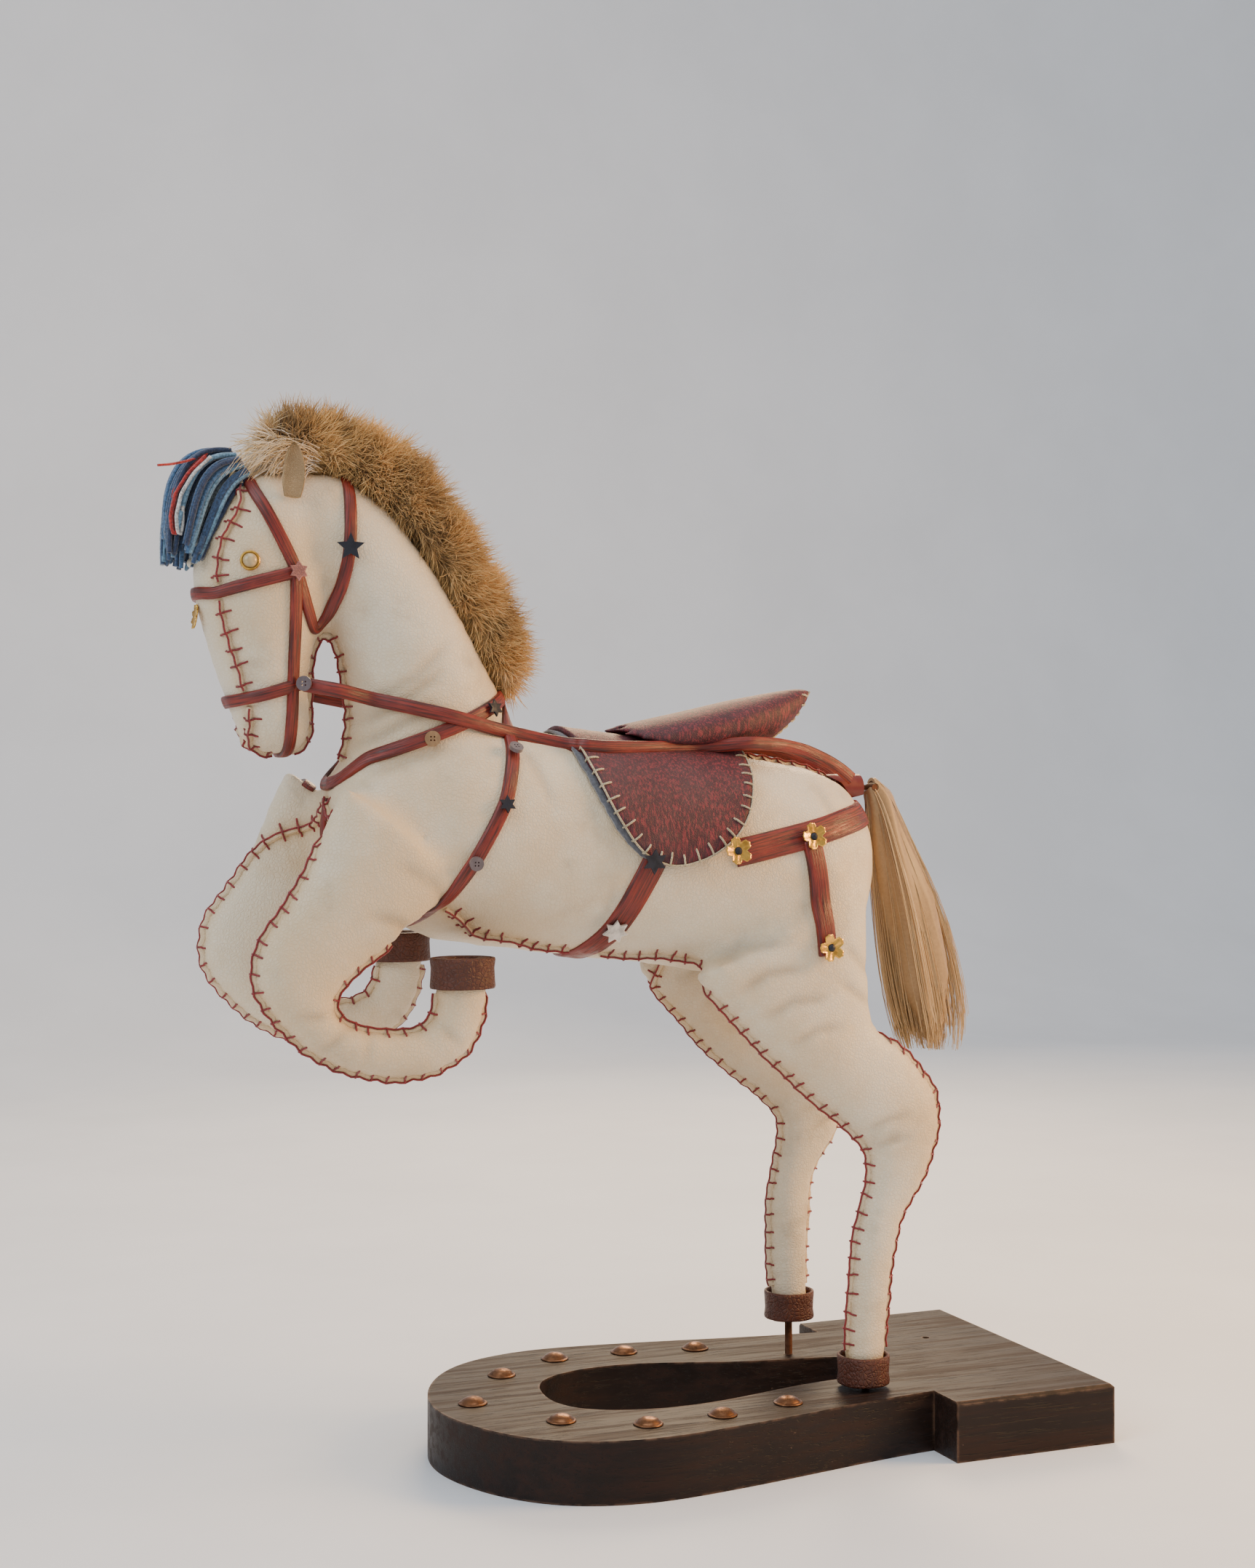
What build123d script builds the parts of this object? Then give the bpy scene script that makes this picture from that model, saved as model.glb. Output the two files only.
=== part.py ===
"""Hand-stitched leather horse rearing on a horseshoe-shaped wooden base.

Frame: +Z up, the horse faces -X, its near (left) side is towards -Y.
While it is built, X runs from the heel end of the base (0) forward (negative), Y is 0 on
the centre line of the base, and Z is 0 under the board.  The last step moves everything so
that the origin is the middle of the overall box, on the underside of the board.
Profile points of the horse are (x, height above the top of the board).
"""
import os
from math import cos, hypot, pi, sin
from build123d import *

# ---- wooden base --------------------------------------------------------------------
BASE_LENGTH = 255.0
BASE_THICK = 23.0
BLOCK_LENGTH = 70.0
BLOCK_WIDTH = 134.0
SHOE_WIDTH = 133.0        # widest part of the horseshoe
SHOE_WAIST = 98.6         # horseshoe where it meets the block
ARM_WIDTH = 35.0          # timber left between the slot and the outside
SLOT_TOE_GAP = 44.0       # toe of the base to the front end of the slot
EDGE_BREAK = 1.2
NAIL_HEAD_D = 11.0
NAIL_HEAD_HEIGHT = 2.8
NAIL_SHANK_D = 2.4
NAIL_SHANK_LENGTH = 14.0
KNOT_HOLE_D = 3.0
KNOT_HOLE_DEPTH = 4.0
KNOT_PLACE = (-32.0, 24.0, BASE_THICK)
TOE_NAIL = 15.0              # from the toe of the base
ARM_NAILS = ((38.0, 0.51), (66.0, 0.745), (96.0, 0.735), (125.5, 0.655))  # from the toe, share

# ---- armature -----------------------------------------------------------------------
ROD_D = 3.0
ROD_SOCKET = 15.0         # depth of the blind holes in the board
ROD_BEND = 8.0
WIRE_D = 2.0
WIRE_BEND = 5.0
TAIL_PIN_D = 2.6          # cross pin on the end of the spine wire, on which the tail turns
TAIL_PIN_LENGTH = 6.6

# ---- stuffed leather body -----------------------------------------------------------
HORSE_Y = -6.0            # middle plane of the horse
LEG_SPREAD = 57.0         # between the middle planes of the near and far legs
TRUNK_WIDTH = 76.0
NECK_WIDTH = 50.0
HEAD_WIDTH = 40.0
LEG_WIDTH = 20.0
LEATHER = 1.2
BLAZE_WIDTH = 24.0
BELLY_GUSSET_WIDTH = 32.0
FAR_FORE_STEP = (-7.0, 6.0)      # the far foreleg is carried further forward and higher
FAR_HIND_STEP = (-4.0, 13.0)     # the far hind hoof stands further forward and higher
FAR_HIND_BOW = -8.0              # and its hock further forward still

# ---- hooves -------------------------------------------------------------------------
CUFF_HEIGHT = 11.0
CUFF_THICK = 1.1
CUFF_SLACK = 0.05
SOLE_THICK = 2.0

# ---- harness ------------------------------------------------------------------------
STRAP_THICK = 1.3
BRIDLE_WIDTH = 4.6
COLLAR_WIDTH = 5.0
SURCINGLE_WIDTH = 5.0
GIRTH_WIDTH = 9.5
BREECHING_WIDTH = 10.5
HIP_DROP_WIDTH = 7.6
REIN_WIDTH = 5.0
REIN_THICK = 1.2
SADDLE_THICK = 2.4
LINING_THICK = 1.0
SEAT_WIDTH = 42.0
CHARM_THICK = 0.9
ORNAMENT_D = 9.0
TACK_D = 3.6
TACK_HEIGHT = 1.2
GAP = 0.15                # daylight between a charm or a rein and what it lies on

# ---- mane, forelock, tail, ears -----------------------------------------------------
MANE_WIDTH = 17.0
FORELOCK_WIDTH = 24.0
TAIL_WIDTH = 23.0
EAR_LENGTH = 21.0
EAR_WIDTH = 10.0
EAR_THICK = 1.2
EYE_D = 7.0
EYE_HEIGHT = 3.0
EYE_SUNK = 0.3            # how far the eye sits in the leather
TIE_LENGTH = 15.0         # thread bar of the forelock
TIE_RADIUS = 1.2
TIE_STITCH = 12.0         # depth of the two stitches that hold it
LOOP_RADIUS = 3.6
HINGE_CLEARANCE = 0.3
DOCK_RADIUS = 3.9
DOCK_HOLLOW_RADIUS = 2.7
TAIL_ROOT_WALL = 1.4
CRUPPER_D = 10.5
CRUPPER_GAP = 6.0         # from the tail pivot to the end of the crupper loop
CRUPPER_LENGTH = 20.0

ROUND_POINTS = 16         # corners round one section of the stuffed body
PLENTY = 500.0            # longer than anything on the horse
SMALLEST_STRAP = 8.0      # cubic millimetres; a smaller crumb of a cut is no strap

NEAR = -1
FAR = 1


# =============================== small helpers =======================================
def ring(front, back, width, y, inset=0.0):
    """Corners of an oval section whose long axis runs between two profile points."""
    dx, dz = back[0] - front[0], back[1] - front[1]
    reach = hypot(dx, dz) / 2
    ux, uz = dx / (2 * reach), dz / (2 * reach)
    cx, cz = (front[0] + back[0]) / 2, (front[1] + back[1]) / 2 + BASE_THICK
    corners = []
    for i in range(ROUND_POINTS):
        angle = 2 * pi * i / ROUND_POINTS
        along = (reach - inset) * cos(angle)
        across = (width / 2 - inset) * sin(angle)
        corners.append(Vector(cx + along * ux, y + across, cz + along * uz))
    return corners


def faceted(rings):
    """Closed solid of flat facets through a row of sections with equally many corners."""
    faces = [Face(Wire.make_polygon(rings[0])), Face(Wire.make_polygon(rings[-1]))]
    for lower, upper in zip(rings, rings[1:]):
        for i in range(len(lower)):
            j = (i + 1) % len(lower)
            faces.append(Face(Wire.make_polygon([lower[i], lower[j], upper[j]])))
            faces.append(Face(Wire.make_polygon([lower[i], upper[j], upper[i]])))
    solid = Solid(Shell(faces))
    return solid if solid.volume > 0 else -solid


def moved(stations, step):
    """The same stations, carried by (dx, dz)."""
    return [((f[0] + step[0], f[1] + step[1]), (b[0] + step[0], b[1] + step[1]), w)
            for f, b, w in stations]


def end_shifted(station, neighbour, distance):
    """A station carried towards its neighbour, for the closed end of a skin."""
    mid = [(station[0][i] + station[1][i]) / 2 for i in (0, 1)]
    other = [(neighbour[0][i] + neighbour[1][i]) / 2 for i in (0, 1)]
    gap = hypot(other[0] - mid[0], other[1] - mid[1])
    step = [(other[i] - mid[i]) * distance / gap for i in (0, 1)]
    return moved([station], step)[0]


def stuffed(stations, width, y, inset=0.0, open_end=False):
    """Rounded solid through a list of (front point, back point, share of the width)."""
    shifted = list(stations)
    shifted[0] = end_shifted(stations[0], stations[1], inset)
    if not open_end:
        shifted[-1] = end_shifted(stations[-1], stations[-2], inset)
    return faceted([ring(f, b, width * share, y, inset) for f, b, share in shifted])


def ribbon_outline(path, width):
    """Closed outline of a strap of one width along a profile path."""
    left, right = [], []
    for i, (x, z) in enumerate(path):
        x0, z0 = path[max(i - 1, 0)]
        x1, z1 = path[min(i + 1, len(path) - 1)]
        length = hypot(x1 - x0, z1 - z0)
        nx, nz = -(z1 - z0) / length * width / 2, (x1 - x0) / length * width / 2
        left.append((x + nx, z + nz))
        right.append((x - nx, z - nz))
    return left + right[::-1]


def slab(outline, y0=-PLENTY, y1=PLENTY):
    """Prism across the horse from y0 to y1 over a profile outline."""
    points = [Vector(x, y0, z + BASE_THICK) for x, z in outline]
    face = Face(Wire.make_polygon(points, close=True))
    return extrude(face, amount=y1 - y0, dir=(0, 1, 0))


def touch(shapes, x, height, side):
    """Outermost point, and its normal, where a line across the horse leaves the shapes."""
    best = None
    line = Axis((x, HORSE_Y, height + BASE_THICK), (0, side, 0))
    for shape in shapes:
        for point, normal in shape.find_intersection_points(line):
            if best is None or point.Y * side > best[0].Y * side:
                best = (point, normal)
    point, normal = best
    if normal.Y * side < 0:
        normal = normal * -1
    return point, normal


def largest(shape, count=1):
    """The biggest solids of a cut, without its crumbs."""
    solids = sorted(shape.solids(), key=lambda s: s.volume, reverse=True)
    return Compound(solids[:count]) if count > 1 else solids[0]


def real_solids(shape, smallest=1.0):
    """Every solid of a cut above a smallest volume in cubic millimetres."""
    return [s for s in shape.solids() if s.volume > smallest]


def group(shapes):
    """One node holding several separate solids."""
    solids = []
    for shape in shapes:
        solids.extend(shape.solids())
    return Compound(solids)


def rod_along(points, diameter, bend):
    """Round bar through points, with one bend radius."""
    path = FilletPolyline(*points, radius=bend)
    start = Plane(origin=path @ 0, z_dir=path % 0)
    return sweep(start * Circle(diameter / 2), path=path)


def dome(diameter, height):
    """Low round cap standing on XY."""
    radius = diameter / 2
    ball = (radius ** 2 + height ** 2) / (2 * height)
    cap = Pos(0, 0, height - ball) * Sphere(ball)
    return cap & Pos(0, 0, height) * Box(diameter + 1, diameter + 1, 2 * height)


# =============================== wooden base =========================================
def smooth_outline(points):
    return Edge.make_spline([Vector(x, y, 0) for x, y in points])


def make_base():
    toe = -BASE_LENGTH
    heel = -BLOCK_LENGTH
    half = SHOE_WIDTH / 2
    waist = SHOE_WAIST / 2
    arm = -toe + heel
    side = [(heel, waist), (heel - 0.27 * arm, waist + 0.45 * (half - waist)),
            (heel - 0.54 * arm, waist + 0.93 * (half - waist)), (toe + 60, half),
            (toe + 27, 0.83 * half), (toe + 7, 0.44 * half)]
    outline = side + [(toe, 0)] + [(x, -y) for x, y in side[::-1]]
    shoe = Face(Wire([smooth_outline(outline),
                      Edge.make_line((heel, -waist, 0), (heel, waist, 0))]))
    block = Pos(-BLOCK_LENGTH / 2, 0, 0) * Rectangle(BLOCK_LENGTH, BLOCK_WIDTH)
    board = extrude(block, amount=BASE_THICK) + extrude(shoe, amount=BASE_THICK, dir=(0, 0, 1))
    top_edges = board.edges().filter_by_position(Axis.Z, BASE_THICK - 0.01, BASE_THICK + 0.01)
    board = chamfer(top_edges.sort_by(Axis.X)[-3:], EDGE_BREAK)
    knot = Pos(*KNOT_PLACE) * Cylinder(KNOT_HOLE_D / 2, 2 * KNOT_HOLE_DEPTH)
    return board - make_slot() - knot


def make_slot():
    """The open middle of the horseshoe, which narrows towards the block."""
    toe = -BASE_LENGTH + SLOT_TOE_GAP
    half = SHOE_WIDTH / 2 - ARM_WIDTH
    heel = -BLOCK_LENGTH
    run = heel - toe
    outline = [(toe, 0), (toe + 8, -0.70 * half), (toe + 31, -half), (toe + 0.49 * run, -0.93 * half),
               (toe + 0.81 * run, -0.66 * half), (heel - 4, -0.52 * half), (heel, -0.2 * half),
               (heel - 6, 0.2 * half), (toe + 0.81 * run, 0.42 * half), (toe + 0.62 * run, 0.6 * half),
               (toe + 31, half), (toe + 8, 0.70 * half)]
    edge = Edge.make_spline([Vector(x, y, -1) for x, y in outline], periodic=True)
    return extrude(Face(Wire([edge])), amount=BASE_THICK + 2, dir=(0, 0, 1))


def nail_places():
    """Where the nails stand: one at the toe, four along each arm."""
    places = [(TOE_NAIL - BASE_LENGTH, 0)]
    for run, share in ARM_NAILS:
        places += [(run - BASE_LENGTH, side * share * SHOE_WIDTH / 2) for side in (NEAR, FAR)]
    return places


def make_nail(x, y):
    """Domed head on a round shank."""
    shank = Pos(0, 0, -NAIL_SHANK_LENGTH / 2) * Cylinder(NAIL_SHANK_D / 2, NAIL_SHANK_LENGTH)
    return Pos(x, y, BASE_THICK) * (dome(NAIL_HEAD_D, NAIL_HEAD_HEIGHT) + shank)


# =============================== stuffed body ========================================
# (front or lower point, back or upper point, share of the part's width)
TRUNK = [((-300, 209), (-298, 236), 0.45), ((-286, 187), (-285, 250), 0.80),
         ((-258, 174.5), (-252, 261), 0.98), ((-215, 168), (-215, 254), 1.0),
         ((-175, 163.5), (-175, 249), 1.0), ((-138, 157), (-135, 246), 1.0),
         ((-106, 156), (-106, 242), 0.95), ((-88, 168), (-90, 235), 0.75),
         ((-79, 186), (-80, 222), 0.40)]
NECK = [((-288, 214), (-234, 238), 1.1), ((-293, 240), (-229, 264), 1.0),
        ((-291, 258), (-238, 280), 0.92), ((-294, 278), (-247, 297), 0.84),
        ((-298, 292), (-257, 313), 0.78), ((-306, 308), (-272, 333), 0.72),
        ((-318, 325), (-292, 347), 0.60), ((-326, 334), (-312, 347), 0.40)]
HEAD = [((-330, 344), (-312, 347), 0.45), ((-339, 334), (-301, 334), 0.80),
        ((-346, 320), (-297, 318), 0.97), ((-348, 308), (-297, 304), 1.0),
        ((-346, 295), (-299, 291), 0.98), ((-342.5, 283), (-302.5, 281), 0.92),
        ((-338.5, 270), (-304, 269), 0.84), ((-334.5, 259), (-303, 257), 0.78),
        ((-331, 250), (-303, 249), 0.70), ((-324, 243), (-308, 243.5), 0.42)]
FORELEG = [((-300, 236), (-255, 196), 1.1), ((-308, 217), (-272, 182), 1.15),
           ((-313, 205), (-283, 173), 1.1), ((-321, 191.5), (-294, 165), 1.05),
           ((-330, 180.5), (-301, 158), 1.0), ((-333.5, 168), (-302, 154), 1.0),
           ((-331, 158), (-301, 152.5), 0.98), ((-324, 149), (-299, 150.5), 0.96),
           ((-313, 138.5), (-296, 148.5), 0.94), ((-300, 131), (-290, 147.3), 0.93),
           ((-282, 126.5), (-279, 146), 0.93), ((-266, 128), (-271, 146.5), 0.93),
           ((-253, 135), (-267.5, 149), 0.93), ((-247, 146), (-266.5, 153), 0.93),
           ((-245, 158), (-266, 158.5), 0.93), ((-244.5, 169), (-265.5, 169), 0.93)]
HINDLEG = [((-168, 161), (-90, 197), 1.1), ((-155, 148), (-90, 165), 1.15),
           ((-137, 130), (-88, 140), 1.1), ((-120, 114), (-72, 129.5), 1.0),
           ((-103, 101), (-60, 115), 0.98), ((-92, 91), (-57.5, 101), 0.92),
           ((-93, 78), (-65, 80), 0.90), ((-96.5, 66), (-75.5, 66), 0.88),
           ((-99.5, 50), (-79.5, 50), 0.88), ((-100.8, 28), (-82, 28), 0.88),
           ((-101.5, 4), (-84, 4), 0.88)]
ROD_STATIONS = (10, 8, 5, 2, 0)
FORELEG_WIRE_STATIONS = (15, 13, 11, 9, 7, 5, 3, 0)
SPINE = [(-322, 293), (-318, 316), (-300, 324), (-277, 302), (-262, 262), (-242, 226),
         (-215, 211), (-136, 201), (-100, 208), (-88, 232), (-74, 232)]
TAIL_PIVOT = SPINE[-1]


def carried(stations, step, bow=0.0):
    """Stations of the far hind leg: the step grows towards the hoof, the bow is midway."""
    last = len(stations) - 1
    result = []
    for i, station in enumerate(stations):
        share = i / last
        shift = (step[0] * share + bow * sin(pi * share), step[1] * share)
        result += moved([station], shift)
    return result


def leg_plane(side):
    return HORSE_Y + side * LEG_SPREAD / 2


FAR_FORELEG = moved(FORELEG, FAR_FORE_STEP)
FAR_HINDLEG = carried(HINDLEG, FAR_HIND_STEP, FAR_HIND_BOW)
LEGS = {"near_foreleg": (FORELEG, NEAR), "far_foreleg": (FAR_FORELEG, FAR),
        "near_hindleg": (HINDLEG, NEAR), "far_hindleg": (FAR_HINDLEG, FAR)}


def body_pieces(inset):
    """Trunk, neck, head and legs, all drawn in from the outer surface by one distance."""
    pieces = {"trunk": stuffed(TRUNK, TRUNK_WIDTH, HORSE_Y, inset),
              "neck": stuffed(NECK, NECK_WIDTH, HORSE_Y, inset),
              "head": stuffed(HEAD, HEAD_WIDTH, HORSE_Y, inset)}
    for name, (stations, side) in LEGS.items():
        pieces[name] = stuffed(stations, LEG_WIDTH, leg_plane(side), inset, open_end=True)
    return pieces


def joined(pieces):
    solids = list(pieces.values())
    return solids[0].fuse(*solids[1:])


def middle(station):
    return ((station[0][0] + station[1][0]) / 2, (station[0][1] + station[1][1]) / 2)


def along_leg(stations, picks, side):
    """Path up the middle of a leg through some of its stations."""
    points = []
    for i in picks:
        x, z = middle(stations[i])
        points.append((x, leg_plane(side), z + BASE_THICK))
    return points


def make_rod(stations, side):
    """Hind-leg rod, from its socket in the board up into the trunk."""
    path = along_leg(stations, ROD_STATIONS, side)
    foot = (path[0][0], path[0][1], BASE_THICK - ROD_SOCKET)
    return rod_along([foot] + path[1:], ROD_D, ROD_BEND)


def make_foreleg_wire(stations, side):
    path = along_leg(stations, FORELEG_WIRE_STATIONS, side)
    return rod_along(path, WIRE_D, WIRE_BEND)


def make_spine_wire():
    """Wire through head, neck and trunk whose cross pin carries the tail."""
    path = [(x, HORSE_Y, z + BASE_THICK) for x, z in SPINE]
    pin = Pos(*path[-1]) * Rot(90, 0, 0) * Cylinder(TAIL_PIN_D / 2, TAIL_PIN_LENGTH)
    return rod_along(path, WIRE_D, WIRE_BEND) + pin


# =============================== leather panels ======================================
def gusset_zone():
    """Everything that the underbody gusset covers: belly strip and inner legs."""
    belly = slab([(-310, 100), (-60, 100), (-60, 215), (-310, 228)],
                 HORSE_Y - BELLY_GUSSET_WIDTH / 2, HORSE_Y + BELLY_GUSSET_WIDTH / 2)
    inner = LEG_SPREAD / 2
    fore = slab([(-400, 100), (-225, 100), (-225, 168), (-290, 205), (-305, 232), (-400, 232)],
                HORSE_Y - inner, HORSE_Y + inner)
    hind = slab([(-200, -10), (0, -10), (0, 150), (-100, 160), (-160, 168), (-200, 168)],
                HORSE_Y - inner, HORSE_Y + inner)
    return [belly, fore, hind]


def face_zone():
    """The strip down the front of the face."""
    return slab([(-400, 246), (-330, 246), (-326, 300), (-334, 340), (-400, 340)],
                HORSE_Y - BLAZE_WIDTH / 2, HORSE_Y + BLAZE_WIDTH / 2)


def split_skin(skin):
    """Near panel, far panel, underbody gusset and face gusset of the leather skin."""
    under, face = gusset_zone(), face_zone()
    rest = skin.cut(*under, face)
    near_half = slab([(-400, -10), (0, -10), (0, 400), (-400, 400)], -PLENTY, HORSE_Y)
    belly = under[0].fuse(*under[1:])
    return {"near_side_panel": group([Compound(real_solids(rest & near_half, 50))]),
            "far_side_panel": group([Compound(real_solids(rest - near_half, 50))]),
            "underbody_gusset": group([Compound(real_solids(skin & belly, 50))]),
            "face_gusset": group([Compound(real_solids(skin & face, 20))])}


# =============================== hooves ==============================================
def make_hoof(stations, side):
    """Leather cuff round the end of a leg, and the sole inside its rim."""
    (fx, fz), (bx, bz), share = stations[-1]
    before = middle(stations[-2])
    end = middle(stations[-1])
    toward = (end[1] > before[1]) * 2 - 1
    width = LEG_WIDTH * share
    y = leg_plane(side)

    def oval(inset, height):
        shift = toward * height
        return ring((fx, fz + shift), (bx, bz + shift), width, y, inset)

    outer = faceted([oval(-CUFF_THICK - CUFF_SLACK, -CUFF_HEIGHT + SOLE_THICK),
                     oval(-CUFF_THICK - CUFF_SLACK, SOLE_THICK)])
    inner = faceted([oval(-CUFF_SLACK, -CUFF_HEIGHT), oval(-CUFF_SLACK, SOLE_THICK + 1)])
    sole = faceted([oval(-CUFF_SLACK, 0), oval(-CUFF_SLACK, SOLE_THICK)])
    return outer - inner, sole


# =============================== harness =============================================
def place_on(point, normal, shape, lift=0.0):
    """Stand a flat shape, drawn on XY, on a surface point with its top outwards."""
    across = Vector(0, 0, 1).cross(normal)
    plane = Plane(origin=point + normal * lift, x_dir=across, z_dir=normal)
    return plane * shape


def star(points, radius, inner_share):
    """Flat star with a small hole, lying on XY."""
    corners = []
    for i in range(2 * points):
        r = radius if i % 2 == 0 else radius * inner_share
        angle = pi / 2 + pi * i / points
        corners.append((r * cos(angle), r * sin(angle)))
    return extrude(make_face(Polyline(*corners, close=True)), amount=CHARM_THICK)


def button(radius):
    """Round button with four thread holes."""
    disc = Cylinder(radius, CHARM_THICK * 1.6, align=(Align.CENTER, Align.CENTER, Align.MIN))
    for i in range(4):
        angle = pi / 4 + pi / 2 * i
        hole = Pos(radius * 0.32 * cos(angle), radius * 0.32 * sin(angle), 0)
        disc -= hole * Cylinder(radius * 0.11, 4 * CHARM_THICK)
    return disc


def flower(radius):
    """Flat five-petalled spangle."""
    petals = Cylinder(radius * 0.42, CHARM_THICK, align=(Align.CENTER, Align.CENTER, Align.MIN))
    for i in range(5):
        angle = pi / 2 + 2 * pi * i / 5
        petal = Cylinder(radius * 0.37, CHARM_THICK, align=(Align.CENTER, Align.CENTER, Align.MIN))
        petals += Pos(radius * 0.63 * cos(angle), radius * 0.63 * sin(angle), 0) * petal
    return petals


def on_both_sides(shapes, x, height, piece, lift):
    """The same small piece on the near and the far side."""
    placed = []
    for side in (NEAR, FAR):
        point, normal = touch(shapes, x, height, side)
        placed.append(place_on(point, normal, piece, lift))
    return placed


def make_rein(layers, side):
    """Flat strap from the noseband past the collar and saddle to the crupper."""
    centres = []
    for x, height, reach in REIN:
        if reach is None:
            point, _ = touch(layers, x, height, side)
            y = point.Y + side * (GAP + REIN_THICK / 2)
        else:
            y = HORSE_Y + side * reach * TRUNK_WIDTH / 2
        centres.append(Vector(x, y, height + BASE_THICK))
    sections = []
    for i, centre in enumerate(centres):
        before, after = centres[max(i - 1, 0)], centres[min(i + 1, len(centres) - 1)]
        tangent = (after - before).normalized()
        sideways = Vector(0, 0, 1).cross(tangent).normalized()
        plane = Plane(origin=centre, x_dir=sideways, z_dir=tangent)
        sections.append(plane * Rectangle(REIN_THICK, REIN_WIDTH))
    return loft(sections, ruled=True)


# (x, height, reach from the middle plane as a share of the half-width; None lies on the body)
REIN = [(-311, 269, None), (-298, 266.5, 0.56), (-284, 263.6, None), (-270, 260.3, None),
        (-255, 257, None), (-243, 254, None), (-232, 252, None), (-220, 249.5, None),
        (-209, 247.7, None), (-198, 246.8, None), (-188, 246.8, None), (-172, 247, None),
        (-156, 247.5, None), (-137, 249, 0.56), (-122, 248.5, 0.42), (-110, 246.5, 0.34),
        (-99, 242.5, 0.28), (-91, 238.5, 0.23), (-85.5, 234.5, 0.19)]

CROWNPIECE = [(-313, 308.6), (-319, 321), (-327, 337.4), (-330, 352)]
BROWBAND = [(-313, 308.6), (-325, 305.2), (-341, 300.5), (-352, 302)]
NOSEBAND = [(-311, 269), (-325, 264.7), (-335, 262.6), (-345, 264)]
CHEEK_STRAP = [(-313.2, 308.6), (-313.5, 283), (-314.2, 235)]
THROAT_STRAP = [(-313, 308.6), (-309, 297), (-305, 287.5), (-300.3, 293), (-295.8, 303),
                (-293.8, 313), (-293, 323), (-292, 350)]
BREAST_COLLAR = [(-316, 222), (-300, 231), (-286.5, 242.4), (-265.6, 250.3), (-255, 254.5),
                 (-244, 259.5), (-228, 268)]
SURCINGLE = [(-231, 268), (-234.2, 246.8), (-240.6, 226.8), (-252.6, 205), (-261.3, 192.4),
             (-270.2, 184), (-280, 176)]
GIRTH = [(-180, 212), (-187.5, 197), (-195.9, 179), (-204, 168.5), (-212, 158)]
BREECHING = [(-152, 207), (-122, 213.3), (-101, 218.4), (-66, 227)]
CHEST_ZONE = [(-330, 170), (-262, 170), (-262, 215), (-290, 232), (-330, 232)]
HIP_DROP = [(-118.5, 211), (-115.5, 194), (-113.2, 167)]
FLAP = [(-214, 280), (-213.5, 246), (-209.5, 238), (-204, 228), (-198.7, 217.5), (-193, 207),
        (-188, 202.5), (-181, 200.5), (-171, 200.5), (-161, 203), (-148, 210), (-141, 217),
        (-137, 227.5), (-134.5, 240), (-134, 280)]
LINING = [(-216, 280), (-216, 250), (-212, 238), (-206.5, 227), (-201, 217), (-195, 207),
          (-189, 203.5), (-181, 202.5), (-171, 202.5), (-161, 205), (-150, 211), (-143, 218),
          (-139, 228), (-136.5, 240), (-136, 280)]
SEAT = [((-206, 243), (-205, 251), 0.25), ((-196, 243), (-196, 252.5), 0.60),
        ((-180, 243), (-181, 256), 0.90), ((-160, 244), (-160, 260.5), 1.0),
        ((-138, 246), (-136, 266), 0.90), ((-122, 250), (-117, 269.5), 0.60),
        ((-112, 257), (-107, 271), 0.35), ((-105, 265), (-101.5, 270.5), 0.12)]


# =============================== mane, forelock, tail, ears ==========================
MANE = [((-318, 346), (-324, 362), 0.5), ((-306, 346), (-309, 367), 0.9),
        ((-292, 340), (-289, 365), 1.0), ((-279, 331), (-268, 358), 1.0),
        ((-266, 315), (-251, 337), 1.0), ((-256, 300), (-239, 318), 0.95),
        ((-247, 284), (-228, 301), 0.85), ((-240, 272), (-222, 284), 0.7),
        ((-234, 262), (-225, 268), 0.45)]
FORELOCK_PIVOT = (-337, 347)
FORELOCK = [((-340.5, 348), (-334, 348), 0.5), ((-349, 342), (-337, 342), 0.75),
            ((-354.5, 334), (-341, 333), 1.0), ((-356, 322), (-344, 322), 1.0),
            ((-355, 313.5), (-346, 313.5), 0.75)]
TAIL = [((-78, 230), (-70, 236.5), 0.34), ((-77.2, 220), (-62.5, 229), 0.6),
        ((-76.5, 205), (-55, 210), 0.85), ((-74, 180), (-42, 190), 1.0),
        ((-70, 150), (-32, 160), 1.0), ((-62, 132), (-32.5, 137), 0.85),
        ((-55, 125), (-38, 123), 0.5)]
EAR_FOOT = (-313, 333)


def make_mane(under):
    fur = stuffed(MANE, MANE_WIDTH, HORSE_Y)
    return largest(fur.cut(*under))


def tie_bar(radius):
    """Thread bar that the forelock hangs from, with its two stitches into the head."""
    x, z = FORELOCK_PIVOT
    z += BASE_THICK
    bar = Pos(x, HORSE_Y, z) * Rot(90, 0, 0) * Cylinder(radius, TIE_LENGTH)
    for side in (NEAR, FAR):
        y = HORSE_Y + side * (TIE_LENGTH / 2 - radius)
        foot = Plane(origin=(x, y, z), z_dir=(0.74, 0, -0.67))
        bar += foot * Cylinder(radius, TIE_STITCH, align=(Align.CENTER, Align.CENTER, Align.MIN))
    return bar


def make_forelock(head_layer):
    """Hank of yarn, looped over the thread bar and hanging in front of the forehead."""
    x, z = FORELOCK_PIVOT
    yarn = stuffed(FORELOCK, FORELOCK_WIDTH, HORSE_Y)
    loop_width = TIE_LENGTH - 4 * TIE_RADIUS - 2 * HINGE_CLEARANCE
    loop = Pos(x, HORSE_Y, z + BASE_THICK) * Rot(90, 0, 0) * Cylinder(LOOP_RADIUS, loop_width)
    bar = tie_bar(TIE_RADIUS + HINGE_CLEARANCE)
    return largest((yarn + loop).cut(bar, head_layer))


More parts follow.
